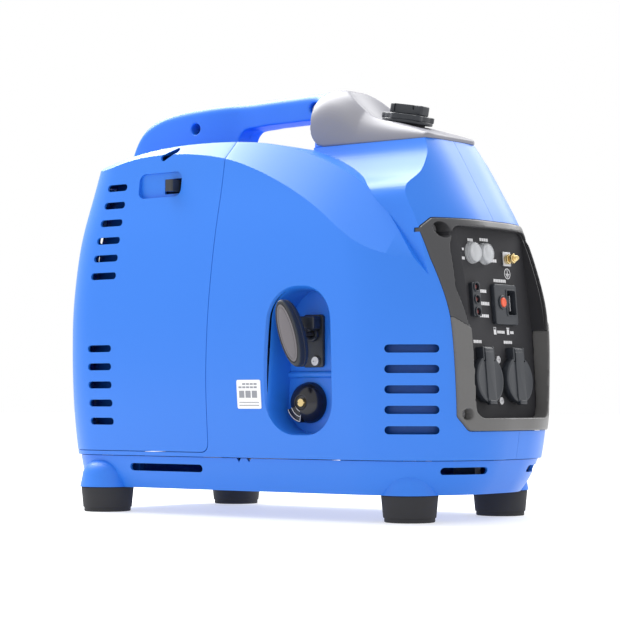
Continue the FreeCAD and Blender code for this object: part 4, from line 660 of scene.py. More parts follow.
def dress(name: str, shape: Solid | bmesh.types.BMesh, finish: Finish, body: str,
          replaces: Sequence[str] = (), sharp: float = 32.0, turn: Matrix | None = None) -> bpy.types.Object:
    """Finish a piece: bring it to metres, shade it, give it its material and its body.

    Args:
        name: Name of the piece.
        shape: Its solid or mesh, in millimetres.
        finish: Its finish.
        body: The body it rides on, or "" to leave it on none.
        replaces: CAD nodes that it stands for.
        sharp: Angle in degrees from which an edge stays crisp.
        turn: Placing of the mesh, in millimetres.

    Returns:
        The finished object.
    """
    bm = shape.bm() if isinstance(shape, Solid) else shape
    if turn is not None:
        moved(bm, turn)
    bmesh.ops.remove_doubles(bm, verts=bm.verts, dist=1e-3)
    bmesh.ops.scale(bm, vec=(MM, MM, MM), verts=bm.verts)
    for face in bm.faces:
        face.smooth = True
    for edge in bm.edges:
        if len(edge.link_faces) != 2 or edge.calc_face_angle(math.pi) > math.radians(sharp):
            edge.smooth = False
    mesh = bpy.data.meshes.new(name)
    bm.to_mesh(mesh)
    bm.free()
    piece = bpy.data.objects.new(name, mesh)
    bpy.context.scene.collection.objects.link(piece)
    piece.data.materials.append(finish.material())
    if body:
        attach(piece, body)
    if replaces:
        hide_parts(*replaces)
    LOG.info("%s: %d faces on %s", name, len(mesh.polygons), body or "two bodies")
    return piece


# ---------------------------------------------------------------- outer form
@dataclass
class OuterForm:
    """The housing's outer shape, which every cover is a part of."""

    seam: float = 68.0
    gap: float = 0.8
    wall: float = 3.0
    rear_corner: float = 60.0
    front_flat: float = 20.0
    cap_base: float = 432.0
    hood_rear: float = 22.0
    crease_half: float = 141.0
    levels: tuple = ((66.0, 285.5, -291.0, 139.5), (100.0, 290.5, -292.5, 143.5),
                     (150.0, 292.5, -292.5, 148.5), (200.0, 292.5, -292.5, 150.0),
                     (240.0, 289.5, -292.5, 149.0), (280.0, 279.5, -291.0, 146.0),
                     (335.0, 258.5, -286.0, 139.5), (380.0, 233.5, -277.0, 132.0),
                     (428.0, 205.5, -265.0, 126.0), (460.0, 184.0, -256.5, 122.0))
    tray_levels: tuple = ((30.0, 259.5, -279.0, 127.0), (48.0, 272.0, -286.0, 134.5),
                          (68.0, 281.5, -288.5, 137.5))
    deck: tuple = ((-330.0, 388.0), (-281.0, 412.0), (-210.5, 428.0), (-147.5, 437.0), (-92.5, 440.0),
                   (-37.5, 439.0), (29.5, 431.0), (96.5, 408.0), (148.0, 379.0), (199.5, 328.0),
                   (245.0, 271.0), (330.0, 170.0))
    crease: tuple = ((-330.0, 372.0, 0.62), (-239.5, 403.0, 0.62), (-182.5, 415.0, 0.72),
                     (-130.5, 416.0, 0.85), (-83.5, 412.0, 0.95), (-39.5, 404.0, 1.05),
                     (7.5, 389.0, 1.2), (50.5, 372.0, 1.3), (100.5, 350.0, 1.35), (145.5, 325.0, 1.35),
                     (189.5, 296.0, 1.25), (230.5, 264.0, 1.1), (262.0, 228.0, 1.0),
                     (330.0, 140.0, 1.0))
    hood: tuple = ((220.0, 112.0), (300.0, 108.0), (345.0, 104.0), (374.0, 98.0), (388.0, 81.0),
                   (404.0, 66.0), (419.0, 55.5), (432.0, 51.0))
    stern: tuple = ((22.0, 19.5), (30.0, 37.0), (38.0, 49.0), (52.0, 57.0), (90.0, 67.0),
                    (134.0, 88.0), (175.0, 125.0))

    def ring(self, z: float, front: float, rear: float, half: float, rear_corner: float) -> list[Vector]:
        """Plan outline at one height: a long box with two wide round front corners."""
        nose = half - self.front_flat
        made = []
        for cx, cy, radius, start, steps in (
                (front - nose, half - nose, nose, 90, 28), (front - nose, nose - half, nose, 0, 28),
                (rear + rear_corner, rear_corner - half, rear_corner, -90, 14),
                (rear + rear_corner, half - rear_corner, rear_corner, -180, 14)):
            for k in range(steps + 1):
                a = math.radians(start - 90.0 * k / steps)
                made.append(Vector((cx + radius * math.cos(a), cy + radius * math.sin(a), z)))
            if start in (0, -180):
                last, sign = made[-1].copy(), (-1 if start == 0 else 1)
                end = rear + rear_corner if start == 0 else front - nose
                made += [Vector((last.x + (end - last.x) * k / 24, sign * half, z)) for k in range(1, 24)]
        return made

    def wall_block(self, levels: Sequence[Sequence[float]], grow: float, count: int) -> Solid:
        """Solid through the plan outlines, grown by a distance."""
        return loft([self.ring(z, front + grow, rear - grow, half + grow, self.rear_corner + grow)
                     for z, front, rear, half in spline(levels, count)])

    def bevel_cutter(self, grow: float) -> Solid:
        """Everything above the slope between side wall and deck, on the -Y side."""
        rings = []
        for half in (175.0, 50.0):
            line = [Vector((x, -half, z)) for x, z in spline(
                [(x, z + s * (self.crease_half - half) + grow * 1.35) for x, z, s in self.crease], 110)]
            rings.append(line + [Vector((line[-1].x, -half, 640.0)), Vector((line[0].x, -half, 640.0))])
        return loft(rings)

    def body(self, grow: float) -> Solid:
        """Arched body with its bevels and the hood on it."""
        walls = self.wall_block(self.levels, grow, 90)
        hood = walls.copy()
        slope = self.bevel_cutter(grow)
        far = mirror(slope)
        line = spline([(x, z + grow) for x, z in self.deck], 120)
        deck = prism(line + [(line[-1][0], 600.0), (line[0][0], 600.0)], "y", -200.0, 200.0)
        walls.cut(deck, slope, far)
        side = [(half + grow, z) for z, half in self.hood[:-1]] + [(self.hood[-1][1] + grow,
                                                                    self.cap_base + grow)]
        flare = spline(side, 60)
        flared = prism(flare + [(-y, z) for y, z in reversed(flare)], "x", self.hood_rear - grow, 345.0)
        plan = spline([(x - grow, half + grow * 0.6) for x, half in self.stern], 50)
        plan += [(380.0, plan[-1][1])]
        stern = prism(plan + [(x, -y) for x, y in reversed(plan)], "z", 205.0, 560.0)
        hood.meet(flared).meet(stern)
        walls.add(hood)
        return walls


@dataclass
class Covers:
    """The moulded covers with their slots, door, finger recess and starter pocket."""

    form: OuterForm
    door_bottom: float = 74.0
    seam_x: float = -49.8
    seam_lean: float = 0.04
    rear_half: float = 112.0
    rear_x: float = -240.0
    rear_top: float = 400.0
    spine_half: float = 33.0
    pocket_floor: float = -108.0
    pocket_wall: float = 2.5
    pocket: tuple = ((44.5, 97.0, 36.0), (136.5, 97.0, 36.0), (131.5, 259.0, 35.0), (56.5, 259.0, 35.0))
    finger: tuple = (-166.5, -98.5, 377.0, 407.0, -126.0)
    bezel_outline: tuple = ((0.0, 339.0), (91.0, 336.5), (105.5, 325.0), (104.5, 290.0), (98.0, 226.0),
                            (92.0, 117.0), (79.0, 101.0), (0.0, 98.0))

    def pocket_ring(self, grow: float) -> list[Pair]:
        """Outline of the starter pocket in the side view, grown by a distance."""
        (ax, az, ar), (bx, bz, br), (cx, cz, cr), (dx, dz, dr) = self.pocket
        return rounded([(ax - grow, az - grow, ar + grow), (bx + grow, bz - grow, br + grow),
                        (cx + grow, cz + grow, cr + grow), (dx - grow, dz + grow, dr + grow)], 14)

    def pocket_prism(self, grow: float, y0: float, y1: float) -> Solid:
        """The starter pocket as a prism."""
        return prism(self.pocket_ring(grow), "y", y0, y1)

    def pocket_mouth(self) -> Solid:
        """The pocket with its lip rolled over into the side wall."""
        steps = spline([(14.0, -156.0), (8.5, -151.4), (5.0, -148.2), (2.4, -144.6), (0.8, -139.5),
                        (0.0, -132.0)], 14)
        return loft([[Vector((x, y, z)) for x, z in self.pocket_ring(max(grow, 0.0))]
                     for grow, y in list(steps) + [(0.0, self.pocket_floor)]])

    def region(self, gap: float) -> Solid:
        """Space of the door on the -Y side, less the rear cover's."""
        def seam(z: float) -> float:
            return self.seam_x + self.seam_lean * z + gap
        z0 = self.door_bottom - gap
        door = prism(rounded([(-400, z0, 0), (seam(z0), z0, 11.0), (seam(470), 470, 0), (-400, 470, 0)]),
                     "y", -200.0, -self.spine_half + gap)
        rear = block(-410, self.rear_x, -self.rear_half + gap, 10, 0, self.rear_top - gap)
        door.cut(rear)
        return door

    def rear_region(self, gap: float) -> Solid:
        """Space of the rear cover: the louvred face and the saddle under the handle."""
        face = block(-400, self.rear_x, -self.rear_half + gap, self.rear_half - gap,
                     self.door_bottom, self.rear_top)
        saddle = block(-401, self.seam_x + 12, -self.spine_half + gap, self.spine_half - gap,
                       self.rear_top - 40, 470)
        face.add(saddle)
        return face

    def side_slots(self) -> list[Solid]:
        """Louvre slots of the starter side's rear."""
        cuts = []
        for i in range(6):
            t = i / 5
            cuts.append(slot_outline(-218.5 - 13.0 * t, -186.0 - 4.0 * t, 393.0 - 21.6 * i, 8.5))
        for i in range(5):
            cuts.append(slot_outline(-232.0, -193.5, 197.0 - 21.9 * i, 8.5))
        return [prism(outline, "y", -175.0, -118.0) for outline in cuts]

    def corner_slots(self) -> list[Solid]:
        """Louvre slots of the round front corner, starter side."""
        cuts = []
        for i in range(5):
            z = 191.0 - 22.25 * i
            slot = prism(slot_outline(-30.0, 30.0, 0.0, 9.0), "y", -30.0, 22.0)
            place = Matrix.Translation((233.0, -126.5, z)) @ Matrix.Rotation(math.radians(34.0), 4, "Z")
            slot.item.data.transform(place)
            cuts.append(slot)
        return cuts

    def bezel_prism(self, grow: float) -> Solid:
        """Outline of the panel's bezel, pulled along X."""
        right = [(y * (1 + grow / 100), 220 + (z - 220) * (1 + grow / 120)) for y, z in self.bezel_outline]
        ring = [(y, z, 7.0) for y, z in right[1:-1]]
        ring += [(-y, z, 7.0) for y, z in reversed(right[1:-1])]
        return prism(rounded(ring, 5), "x", 221.5, 400.0)

    def shell(self) -> Solid:
        """Whole skin of the housing above the seam, before it is split into covers."""
        form = self.form
        skin, inner = form.body(0.0), form.body(-form.wall)
        lid = block(-400, 400, -200, 200, form.cap_base - form.wall, 700)
        inner.cut(lid)
        low = block(-400, 400, -200, 200, 0, form.seam + form.gap)
        bezel, neck = self.bezel_prism(0.6), rod(29.0, (137.5, 0, 400), (137.5, 0, 500))
        skin.cut(inner, low, bezel, neck)
        for slot in self.corner_slots():
            far = mirror(slot)
            skin.cut(slot, far)
        return skin

    def build(self) -> dict[str, Solid]:
        """Split the skin into its covers and add the pocket, the recess and the slots."""
        skin = self.shell()
        outer = self.form.body(0.0)
        gap = self.form.gap / 2
        door, far_door, rear = skin.copy(), skin.copy(), skin.copy()
        own, wide = self.region(-gap), self.region(gap)
        own_far, wide_far = mirror(own), mirror(wide)
        tail, tail_wide = self.rear_region(gap), self.rear_region(-gap)
        door.meet(own)
        far_door.meet(own_far)
        rear.meet(tail)
        skin.cut(wide, wide_far, tail_wide)
        right, left = skin.copy(), skin
        near_half, far_half = block(-420, 420, -220, -gap / 2, 0, 600), block(-420, 420, gap / 2, 220, 0, 600)
        right.meet(near_half)
        left.meet(far_half)
        self.add_pocket(right, outer)
        self.add_recess(door, outer)
        for slot in self.side_slots():
            far = mirror(slot)
            door.cut(slot)
            far_door.cut(far)
        self.add_louvres(rear)
        return {"right_side_cover": right, "left_side_cover": left, "maintenance_door": door,
                "left_rear_cover": far_door, "rear_cover": rear}

    def add_pocket(self, cover: Solid, outer: Solid) -> None:
        """Let the starter pocket into the side cover."""
        tub = self.pocket_prism(self.pocket_wall, -158.0, self.pocket_floor + self.pocket_wall)
        tub.meet(outer)
        cover.add(tub)
        mouth = self.pocket_mouth()
        room = self.pocket_prism(-0.2, -130.0, -100.0)
        ridge = rod(4.0, (20, self.pocket_floor, 164), (160, self.pocket_floor, 164), 24).meet(room)
        mouth.cut(ridge)
        holes = [rod(9.0, (85.5, -125, 210), (85.5, -95, 210)), rod(5.0, (79, -125, 132), (79, -95, 132))]
        cover.cut(mouth, *holes)

    def add_recess(self, door: Solid, outer: Solid) -> None:
        """Let the finger recess, its catch slot and the access slot into the door."""
        x0, x1, z0, z1, depth = self.finger

        def well(grow: float, end: float) -> Solid:
            return prism(rounded_box(x0 - grow, x1 + grow, z0 - grow, z1 + grow, 9.0), "y", -180.0, end)
        tub, space = well(2.5, depth + 2.5), well(0.0, depth)
        tub.meet(outer)
        catch = block(x1 - 30, x1 - 3, -130, -118, z0 + 4, z1 - 8)
        access = prism(slot_outline(-13, 13, 0, 8), "y", -30.0, 30.0)
        access.item.data.transform(Matrix.Translation((-122.5, -118, 429))
                                   @ Matrix.Rotation(math.radians(-26.0), 4, "Y"))
        door.add(tub)
        door.cut(space, catch, access)

    def add_louvres(self, rear: Solid) -> None:
        """Cut the exhaust louvres and the outlet's hole into the rear cover."""
        cuts = [prism(rounded_box(-75.0, 75.0, z, z + 8, 2.0, 3), "x", -330.0, -270.0)
                for z in range(140, 349, 24)]
        cuts.append(rod(17.0, (-330, -45, 372), (-270, -45, 372), 40))
        rear.cut(*cuts)

    def dress(self) -> None:
        """Finish every cover and put it on its body."""
        for name, solid in self.build().items():
            body = "door" if name == "maintenance_door" else "housing"
            dress(f"{name}_skin", solid, Finish.COVER, body, [name], 24.0)


# ---------------------------------------------------------------- tray, feet, handle and filler
@dataclass
class BaseTray:
    """Tray under the covers, with a dome over each of its rubber feet."""

    form: OuterForm
    feet: tuple = ((-224.5, -122.0), (-224.5, 122.0), (205.5, -92.0), (205.5, 92.0))
    foot_height: float = 30.0
    slot_x: tuple = (-174.0, -59.5)
    notch_x: tuple = (-3.0, 12.0)
    corner: tuple = (269.0, 72.0, 62.0)

    def build(self) -> Solid:
        """Tray with its domes, slots and notches."""
        levels = self.form.tray_levels
        tray = self.form.wall_block(levels, 0.0, 16)
        inner = self.form.wall_block([(z + 3.0, *rest) for z, *rest in levels], -3.0, 16)
        tray.cut(inner)
        profile = rounded([(0, 0, 0), (33.5, 0, 0), (31.0, 12, 30), (29.0, 33, 21.5), (0, 33, 0)], 12)
        for x, y in self.feet:
            dome = Solid(moved(turned(profile, 64), Matrix.Translation((x, y, self.foot_height))))
            tray.add(dome)
        slot = prism(slot_outline(*self.slot_x, 55.0, 9.0), "y", -160.0, -128.0)
        tools = [slot, mirror(slot)]
        for x in self.notch_x:
            notch = prism([(x - 4, 69), (x + 4, 69), (x, 63.5)], "y", -160.0, -125.0)
            tools += [notch, mirror(notch)]
        cx, cy, turn = self.corner
        low = prism(slot_outline(-30, 30, 57.0, 8.0), "y", -20.0, 20.0)
        place = Matrix.Translation((cx, -cy, 0)) @ Matrix.Rotation(math.radians(turn), 4, "Z")
        low.item.data.transform(place)
        tools += [low, mirror(low)]
        tray.cut(*tools)
        return tray

    def dress(self) -> None:
        """Finish the tray and its feet."""
        dress("base_tray_skin", self.build(), Finish.COVER, "housing", ["base_tray"], 26.0)
        sole = [(10, 0), *rounded([(10, 0, 0), (28.3, 0, 1.4), (28.3, 5.0, 0.3), (29.5, 5.0, 0.5),
                                   (32.0, self.foot_height, 1.2), (4.2, self.foot_height, 0),
                                   (4.2, 12, 0), (10, 12, 0)], 5)[1:], (10, 0)]
        feet = merged(moved(turned(sole, 72), Matrix.Translation((x, y, 0))) for x, y in self.feet)
        dress("rubber_feet_soft", feet, Finish.SOLE, "housing", ["rubber_feet"], 28.0)


@dataclass
class TrimCap:
    """Grey domed cap on the hood, with the dish round the filler."""

    sections: tuple = ((24.0, 48.0, 494.0), (40.0, 50.5, 501.5), (55.0, 51.5, 503.0), (86.5, 51.5, 492.0),
                       (110.0, 51.5, 474.0), (146.0, 51.5, 456.0), (183.5, 51.5, 444.0),
                       (212.0, 51.5, 434.0))
    base: float = 432.0
    crown: float = 40.0
    heel_x: float = 32.0
    heel_r: float = 24.0
    tip_x: float = 203.5
    tip_r: float = 19.0

    def form(self) -> Solid:
        """Domed nose with a round heel and tip."""
        rings = []
        for x, half, top in spline(self.sections, 46):
            r = min(self.crown, (top - self.base) * 0.85, half - 4.0)
            ring = rounded([(-half, self.base, 0), (half, self.base, 0), (half, top, r), (-half, top, r)], 14)
            rings.append([Vector((x, y, z)) for y, z in ring])
        nose = loft(rings)
        side = prism(rounded([(self.heel_x, self.base, self.heel_r), (320, self.base, 0), (320, 560, 0),
                              (self.heel_x, 560, 0)], 16), "y", -120.0, 120.0)
        half = 51.5 + self.tip_r / 4
        plan = prism(rounded([(0, -half, 0), (self.tip_x, -half, self.tip_r), (self.tip_x, half, self.tip_r),
                              (0, half, 0)], 12), "z", 400.0, 560.0)
        nose.meet(side).meet(plan)
        return nose

    def dress(self) -> None:
        """Let in the dish and the neck's hole, soften the edges and finish."""
        cap = self.form()
        bowl = [(0, 1.5), (33.0, 1.5), (37.0, 2.6), (42.0, 5.2), (75.0, 30.0), (110.0, 58.0), (0, 58.0)]
        dish = Solid(moved(turned(bowl, 96), FILLER))
        neck = Solid(moved(turned([(0, -60), (22.0, -60), (22.0, 20), (0, 20)], 64), FILLER))
        cap.cut(dish, neck).soften(1.15, 7)
        dress("tank_trim_cap_skin", cap, Finish.TRIM, "housing", ["tank_trim_cap"], 60.0)


@dataclass
class Handle:
    """Carrying handle in two halves, which runs from the rear deck to the trim cap."""

    form: OuterForm
    trim: TrimCap
    # x, top z, half width, radius of the upper edges
    spine: tuple = ((-277.0, 430.0, 28.0, 12.0), (-271.5, 447.0, 29.5, 12.0),
                    (-264.0, 461.0, 31.5, 12.0), (-251.0, 476.5, 33.0, 12.0),
                    (-229.5, 489.0, 33.0, 12.0), (-195.0, 496.5, 33.0, 12.0), (-158.0, 499.0, 31.5, 12.0),
                    (-128.0, 500.0, 26.0, 11.5), (-104.0, 500.6, 19.5, 11.0), (-70.0, 501.3, 18.0, 11.0),
                    (-20.0, 502.3, 18.0, 11.0), (8.5, 502.5, 18.0, 12.0), (21.5, 502.5, 19.0, 14.5),
                    (27.0, 502.5, 27.0, 21.0), (33.0, 502.5, 40.0, 34.0), (41.0, 502.5, 49.3, 39.0),
                    (55.0, 502.5, 51.5, 40.0))
    foot: float = 395.0
    grip_under: float = 469.5
    hole_x: tuple = (-103.5, 20.8)
    bolts: tuple = ((-162.5, 472.0), (13.5, 485.0))
    bore: float = 7.0

    def build(self) -> Solid:
        """Whole handle before it is split."""
        rings = []
        for x, top, half, r in spline(self.spine, 120):
            ring = rounded([(-half, self.foot, 0), (half, self.foot, 0), (half, top, r), (-half, top, r)], 10)
            rings.append([Vector((x, y, z)) for y, z in ring])
        body = loft(rings)
        x0, x1 = self.hole_x
        hole = prism(rounded([(x0, 350, 0), (x1, 350, 0), (x1, self.grip_under + 1.0, 5),
                              (-60, self.grip_under, 200), (x0, self.grip_under - 2.5, 17)], 10),
                     "y", -90.0, 90.0)
        tools = [self.form.body(0.15), self.trim.form(), hole]
        for x, z in self.bolts:
            tools += [rod(self.bore, (x, s * 8, z), (x, s * 80, z), 40) for s in (-1, 1)]
        body.cut(*tools)
        return body.soften(1.15, 7)

    def dress(self) -> None:
        """Split the handle on its middle plane and finish both halves."""
        body = self.build()
        for name, y0, y1 in (("handle_right_half", -100.0, -0.15), ("handle_left_half", 0.15, 100.0)):
            half, side = body.copy(), block(-400, 400, y0, y1, 0, 600)
            half.meet(side)
            dress(f"{name}_skin", half, Finish.COVER, "housing", [name], 50.0)


@dataclass
class FillerCap:
    """Lobed fuel cap with its vent lever, drawn on the filler's axis."""

    radius: float = 29.0
    lobes: int = 6
    lever: float = 24.0

    def dress(self) -> None:
        """Make the cap and the lever."""
        ring = []
        for k in range(144):
            a = math.tau * k / 144
            bump = max(0.0, math.cos(self.lobes * (a - math.radians(30)))) ** 1.4
            r = self.radius - 1.4 + 3.2 * bump
            ring.append((r * math.cos(a), r * math.sin(a)))
        body = prism(ring, "z", 6.2, 13.0)
        ease(body, 1.1)
        skirt = Solid(turned(rounded([(0, 3, 0), (29.6, 3, 0.8), (29.6, 6.4, 0.8), (0, 6.4, 0)], 4), 72))
        plug = Solid(turned([(12, -8), (17, -8), (17, 3.5), (12, 3.5), (12, -8)], 48))
        post = Solid(turned([(0, 12), (4, 12), (4, 22), (0, 22)], 32))
        body.add(skirt, plug, post)
        dress("fuel_cap_body", body, Finish.BLACK, "filler_cap", ["fuel_cap"], 30.0, FILLER)
        end = self.lever
        outline = rounded([(-end, -9, 6.5), (end, -9, 4), (end, 9, 4), (-end, 9, 6.5)], 6)
        grip = prism(outline, "z", 13.4, 24.8)
        ease(grip, 1.3)
        cuts = [block(10, 13.2, -12, 12, 19.5, 30), block(-15.5, 10, -12, -7.6, 15.5, 30),
                block(-15.5, 10, 7.6, 12, 15.5, 30)]
        cuts += [block(x, x + 1.4, -12, 12, 24.0, 30) for x in (-14.0, -10.5, -7.0)]
        cuts.append(Solid(turned([(0, 10), (4.1, 10), (4.1, 22.4), (0, 22.4)], 32)))
        grip.cut(*cuts)
        dress("fuel_cap_vent_bar", grip, Finish.BLACK, "cap_vent", ["fuel_cap_vent_lever"], 30.0, FILLER)


# ---------------------------------------------------------------- control panel
@dataclass
class Bezel:
    """Charcoal surround of the panel: a head, and legs that stand a little prouder and carry a lighter grey
    as a painted reflection.
    """

    covers: Covers
    head_proud: float = 1.8
    leg_proud: float = 3.0
    depth: float = 7.0
    opening: tuple = ((69.0, 328.0), (75.5, 262.0), (79.5, 214.0), (75.0, 135.0), (72.0, 115.0))
    opening_r: float = 13.0
    shoulder: tuple = ((72.0, 328.0, 12.0), (84.0, 305.0, 30.0), (90.0, 258.0, 20.0), (81.0, 216.0, 4.0))
    shoulder_sunk: float = 2.4
    # half span, height, counterbore radius, floor x
    screws: tuple = ((85.0, 323.0, 9.0, 229.0), (82.5, 119.5, 6.2, 266.0))

    def ring(self, proud: float) -> Solid:
        """Surround that stands proud of the covers by a distance."""
        form = self.covers.form
        outline = self.covers.bezel_prism(0.0)
        skin = form.wall_block(form.levels, proud, 60).meet(outline)
        whole = skin.copy()
        core = form.wall_block(form.levels, -self.depth, 60)
        behind = block(-400, 0, -200, 200, -300, 300)
        behind.item.data.transform(PANEL)
        core.meet(behind)
        back = block(150, 222, -200, 200, 0, 500)
        skin.cut(core, back)
        corners = [(y, z, self.opening_r if i in (0, 4) else 30.0) for i, (y, z) in enumerate(self.opening)]
        corners += [(-y, z, r) for y, z, r in reversed(corners)]
        opening = prism(rounded(corners, 10), "x", 150.0, 400.0)
        bores = []
        for y, z, radius, floor in self.screws:
            for side in (-1, 1):
                boss = rod(radius + 3, (floor - 4, side * y, z), (400, side * y, z), 40).meet(whole)
                skin.add(boss)
                bores.append(rod(radius, (floor, side * y, z), (400, side * y, z), 40))
        skin.cut(opening, *bores)
        return skin

    def dress(self) -> None:
        """Split into head and legs, soften both and finish."""
        low = prism([(-130, 60), (130, 60), (130, 246.9), (101, 228), (60, 201.3), (-60, 201.3), (-101, 228),
                     (-130, 246.9)], "x", 100.0, 420.0)
        wide = prism(rounded([*self.shoulder, *((-y, z, r) for y, z, r in reversed(self.shoulder))], 8), "x",
                     100.0, 420.0)
        legs, head, step = (self.ring(proud)
                            for proud in (self.leg_proud, self.head_proud, -self.shoulder_sunk))
        legs.meet(low).soften(1.1, 5)
        step.meet(wide).cut(low)
        head.cut(low, wide).soften(1.1, 5)
        dress("bezel_shoulder", step, Finish.PANEL, "housing")
        dress("bezel_head", head, Finish.BEZEL, "housing", ["control_panel_bezel"], 60.0)
        # painted reflection: the legs get the lighter grey in place of the charcoal
        dress("bezel_legs", legs, Finish.LEGS, "housing", (), 60.0)


@dataclass
class Controls:
    """Switches, lamps, sockets and print on the panel's plate; x is out of the plate."""

    rockers: tuple = (("eco_switch", "economy_rocker", -36.0), ("run_switch", "engine_rocker", -10.5))
    rocker_z: float = 80.0
    rocker_tilt: float = 8.0
    lamps: tuple = (13.0, 27.0, 41.0)
    outlets: tuple = (("right", -31.0), ("left", 31.0))
    outlet_z: float = -63.0
    hinge_up: float = 33.0
    lid_out: float = 7.5
    lamp_y: float = -38.0
    ground_place: tuple = (35.0, 76.0)
    button_place: tuple = (12.0, 25.0)
    contact_reach: float = 9.0
    ink: float = 0.25

    def dress(self) -> None:
        """Make every piece on the plate."""
        for body, node, y in self.rockers:
            self.rocker(body, node, y)
        self.boots()
        self.ground()
        self.lamp_block()
        self.low_voltage()
        for side, y in self.outlets:
            self.outlet(side, y)
            self.lid(side, y)
        self.printing()

    def rocker(self, body: str, node: str, y: float) -> None:
        """Rocker with a hollowed face and a white line down it, a painted highlight for light on its ridge.
        """
        def side(proud: float) -> list[Pair]:
            face = [(min(4.5, 15.5 - math.sqrt(196.0 - z * z)) + proud, z)
                    for z in np.linspace(-9.0, 9.0, 19)]
            return [(-6.0, -9.0), *face, (-6.0, 9.0)]
        tilt = Matrix.Translation((-1.25, y, self.rocker_z)) @ Matrix.Rotation(
            math.radians(-self.rocker_tilt), 4, "Y") @ Matrix.Translation((1.25, 0, 0))
        cap = ease(prism(side(0.0), "y", -5.0, 5.0), 0.5, 40.0)
        stub = rod(0.9, (-1.25, -7.4, 0), (-1.25, 7.4, 0), 16)
        cap.add(stub)
        dress(f"{node}_cap", cap, Finish.BLACK, body, [node], 30.0, PANEL @ tilt)
        # painted highlight: the white strip down the middle of the rocker's face stands for light caught on
        # it
        line = prism(side(self.ink), "y", -0.8, 0.8)
        dress(f"{node}_line", line, Finish.PRINT, body, (), 30.0, PANEL @ tilt)

    def boots(self) -> None:
        """Clear pleated splash boots over the rockers."""
        outer = [(12.4, 0.0), (12.5, 1.8), (11.7, 2.8), (12.2, 4.0), (11.4, 5.2), (11.6, 6.2), (10.6, 7.8),
                 (8.6, 8.8), (5.0, 9.0), (0.0, 9.0)]
        inner = [(0.0, 7.9), (5.0, 7.9), (8.2, 7.6), (9.7, 6.8), (10.5, 5.8), (11.2, 2.8), (11.3, 0.0)]
        boots = merged(out_of_plate(outer + inner + outer[:1], y, self.rocker_z, 56)
                       for _, _, y in self.rockers)
        dress("rocker_boots_clear", boots, Finish.BOOT, "housing", ["rocker_boots"], 50.0, PANEL)

    def ground(self) -> None:
        """Earth terminal: square plate, threaded stud and hexagon nuts."""
        plate = ease(block(0, 2, 27, 43, 68, 84.5), 0.4)
        dress("ground_plate", plate, Finish.ZINC, "housing", (), 30.0, PANEL)
        thread = [(0.0, -8.0)]
        for k in range(36):
            thread += [(3.0, -8.0 + k * 0.68), (2.6, -7.66 + k * 0.68)]
        stud = turned(thread + [(2.2, 17.0), (0.0, 17.0)], 24)
        nuts = [Solid(turned([(0, x), (5.2, x), (6.0, x + 0.6), (6.0, x + 3.4), (5.2, x + 4.0), (0, x + 4.0)],
                             6)) for x in (2.0, 8.0)]
        parts = [stud] + [ease(nut, 0.3).bm() for nut in nuts]
        place = Matrix.Translation((0, *self.ground_place)) @ ALONG_X
        dress("ground_stud", moved(merged(parts), place), Finish.BRASS,
              "housing", ["ground_terminal"], 30.0, PANEL)

    def lamp_block(self) -> None:
        """Upright block with three lamp wells, and their lenses."""
        body = prism(rounded_box(self.lamp_y - 8, self.lamp_y + 8, 8, 46, 2, 4), "x", -1.0, 5.0)
        ease(body, 0.7)
        wells = [rod(4.2, (1.0, self.lamp_y, z), (9, self.lamp_y, z), 36) for z in self.lamps]
        rim = [(4.2, 4.5), (4.2, 6.0), (4.6, 6.4), (5.3, 6.4), (5.7, 6.0), (5.7, 4.5), (4.2, 4.5)]
        rims = [Solid(out_of_plate(rim, self.lamp_y, z, 36)) for z in self.lamps]
        body.cut(*wells).add(*rims)
        dress("lamp_block", body, Finish.BLACK, "housing", ["lamp_housing"], 30.0, PANEL)
        lens = [(0, 1.0), (3.6, 1.0), (3.6, 2.6), (3.1, 3.6), (2.2, 4.2), (1.1, 4.5), (0, 4.6)]
        lenses = merged(out_of_plate(lens, self.lamp_y, z, 32) for z in self.lamps)
        dress("lamp_lenses", lenses, Finish.LENS, "housing", ["indicator_lamps"], 40.0, PANEL)

    def low_voltage(self) -> None:
        """Low-voltage module with its two-pin well and the breaker's button."""
        face = ease(prism(rounded_box(-3, 43, 0, 46, 3), "x", 0.0, 6.0), 1.0)
        rear = block(-22, 0.5, 0.4, 39.6, 3.4, 42.6)
        well = prism(rounded_box(21.5, 38.5, 11, 39, 2, 4), "x", -14.0, 9.0)
        frame = prism(rounded_box(19.8, 40.2, 9.4, 40.6, 3, 5), "x", 5.0, 6.9)
        ease(frame, 0.6)
        collar = [(5.7, 5), (5.7, 7.2), (6.3, 7.7), (7.4, 7.7), (8.0, 7.2), (8.0, 5), (5.7, 5)]
        ring = Solid(out_of_plate(collar, *self.button_place, 40))
        bore = rod(5.7, (-6, *self.button_place), (9, *self.button_place), 40)
        face.add(rear, frame).cut(well, bore).add(ring)
        dress("dc_module", face, Finish.BLACK, "housing", ["dc_outlet"], 30.0, PANEL)
        pins = [ease(block(-14, 2, y, y + 1.5, 16, 34), 0.3) for y in (25.0, 33.5)]
        dress("dc_pins", merged(pin.bm() for pin in pins), Finish.ZINC, "housing", (), 30.0, PANEL)
        dome = [(0, -3), (5.55, -3), (5.55, 7.4), (5.2, 8.1), (4.5, 8.5), (3.0, 8.2), (0, 8.0)]
        button = out_of_plate(dome, *self.button_place, 40)
        dress("dc_reset_cap", button, Finish.BUTTON, "reset", ["dc_reset_button"], 30.0, PANEL)

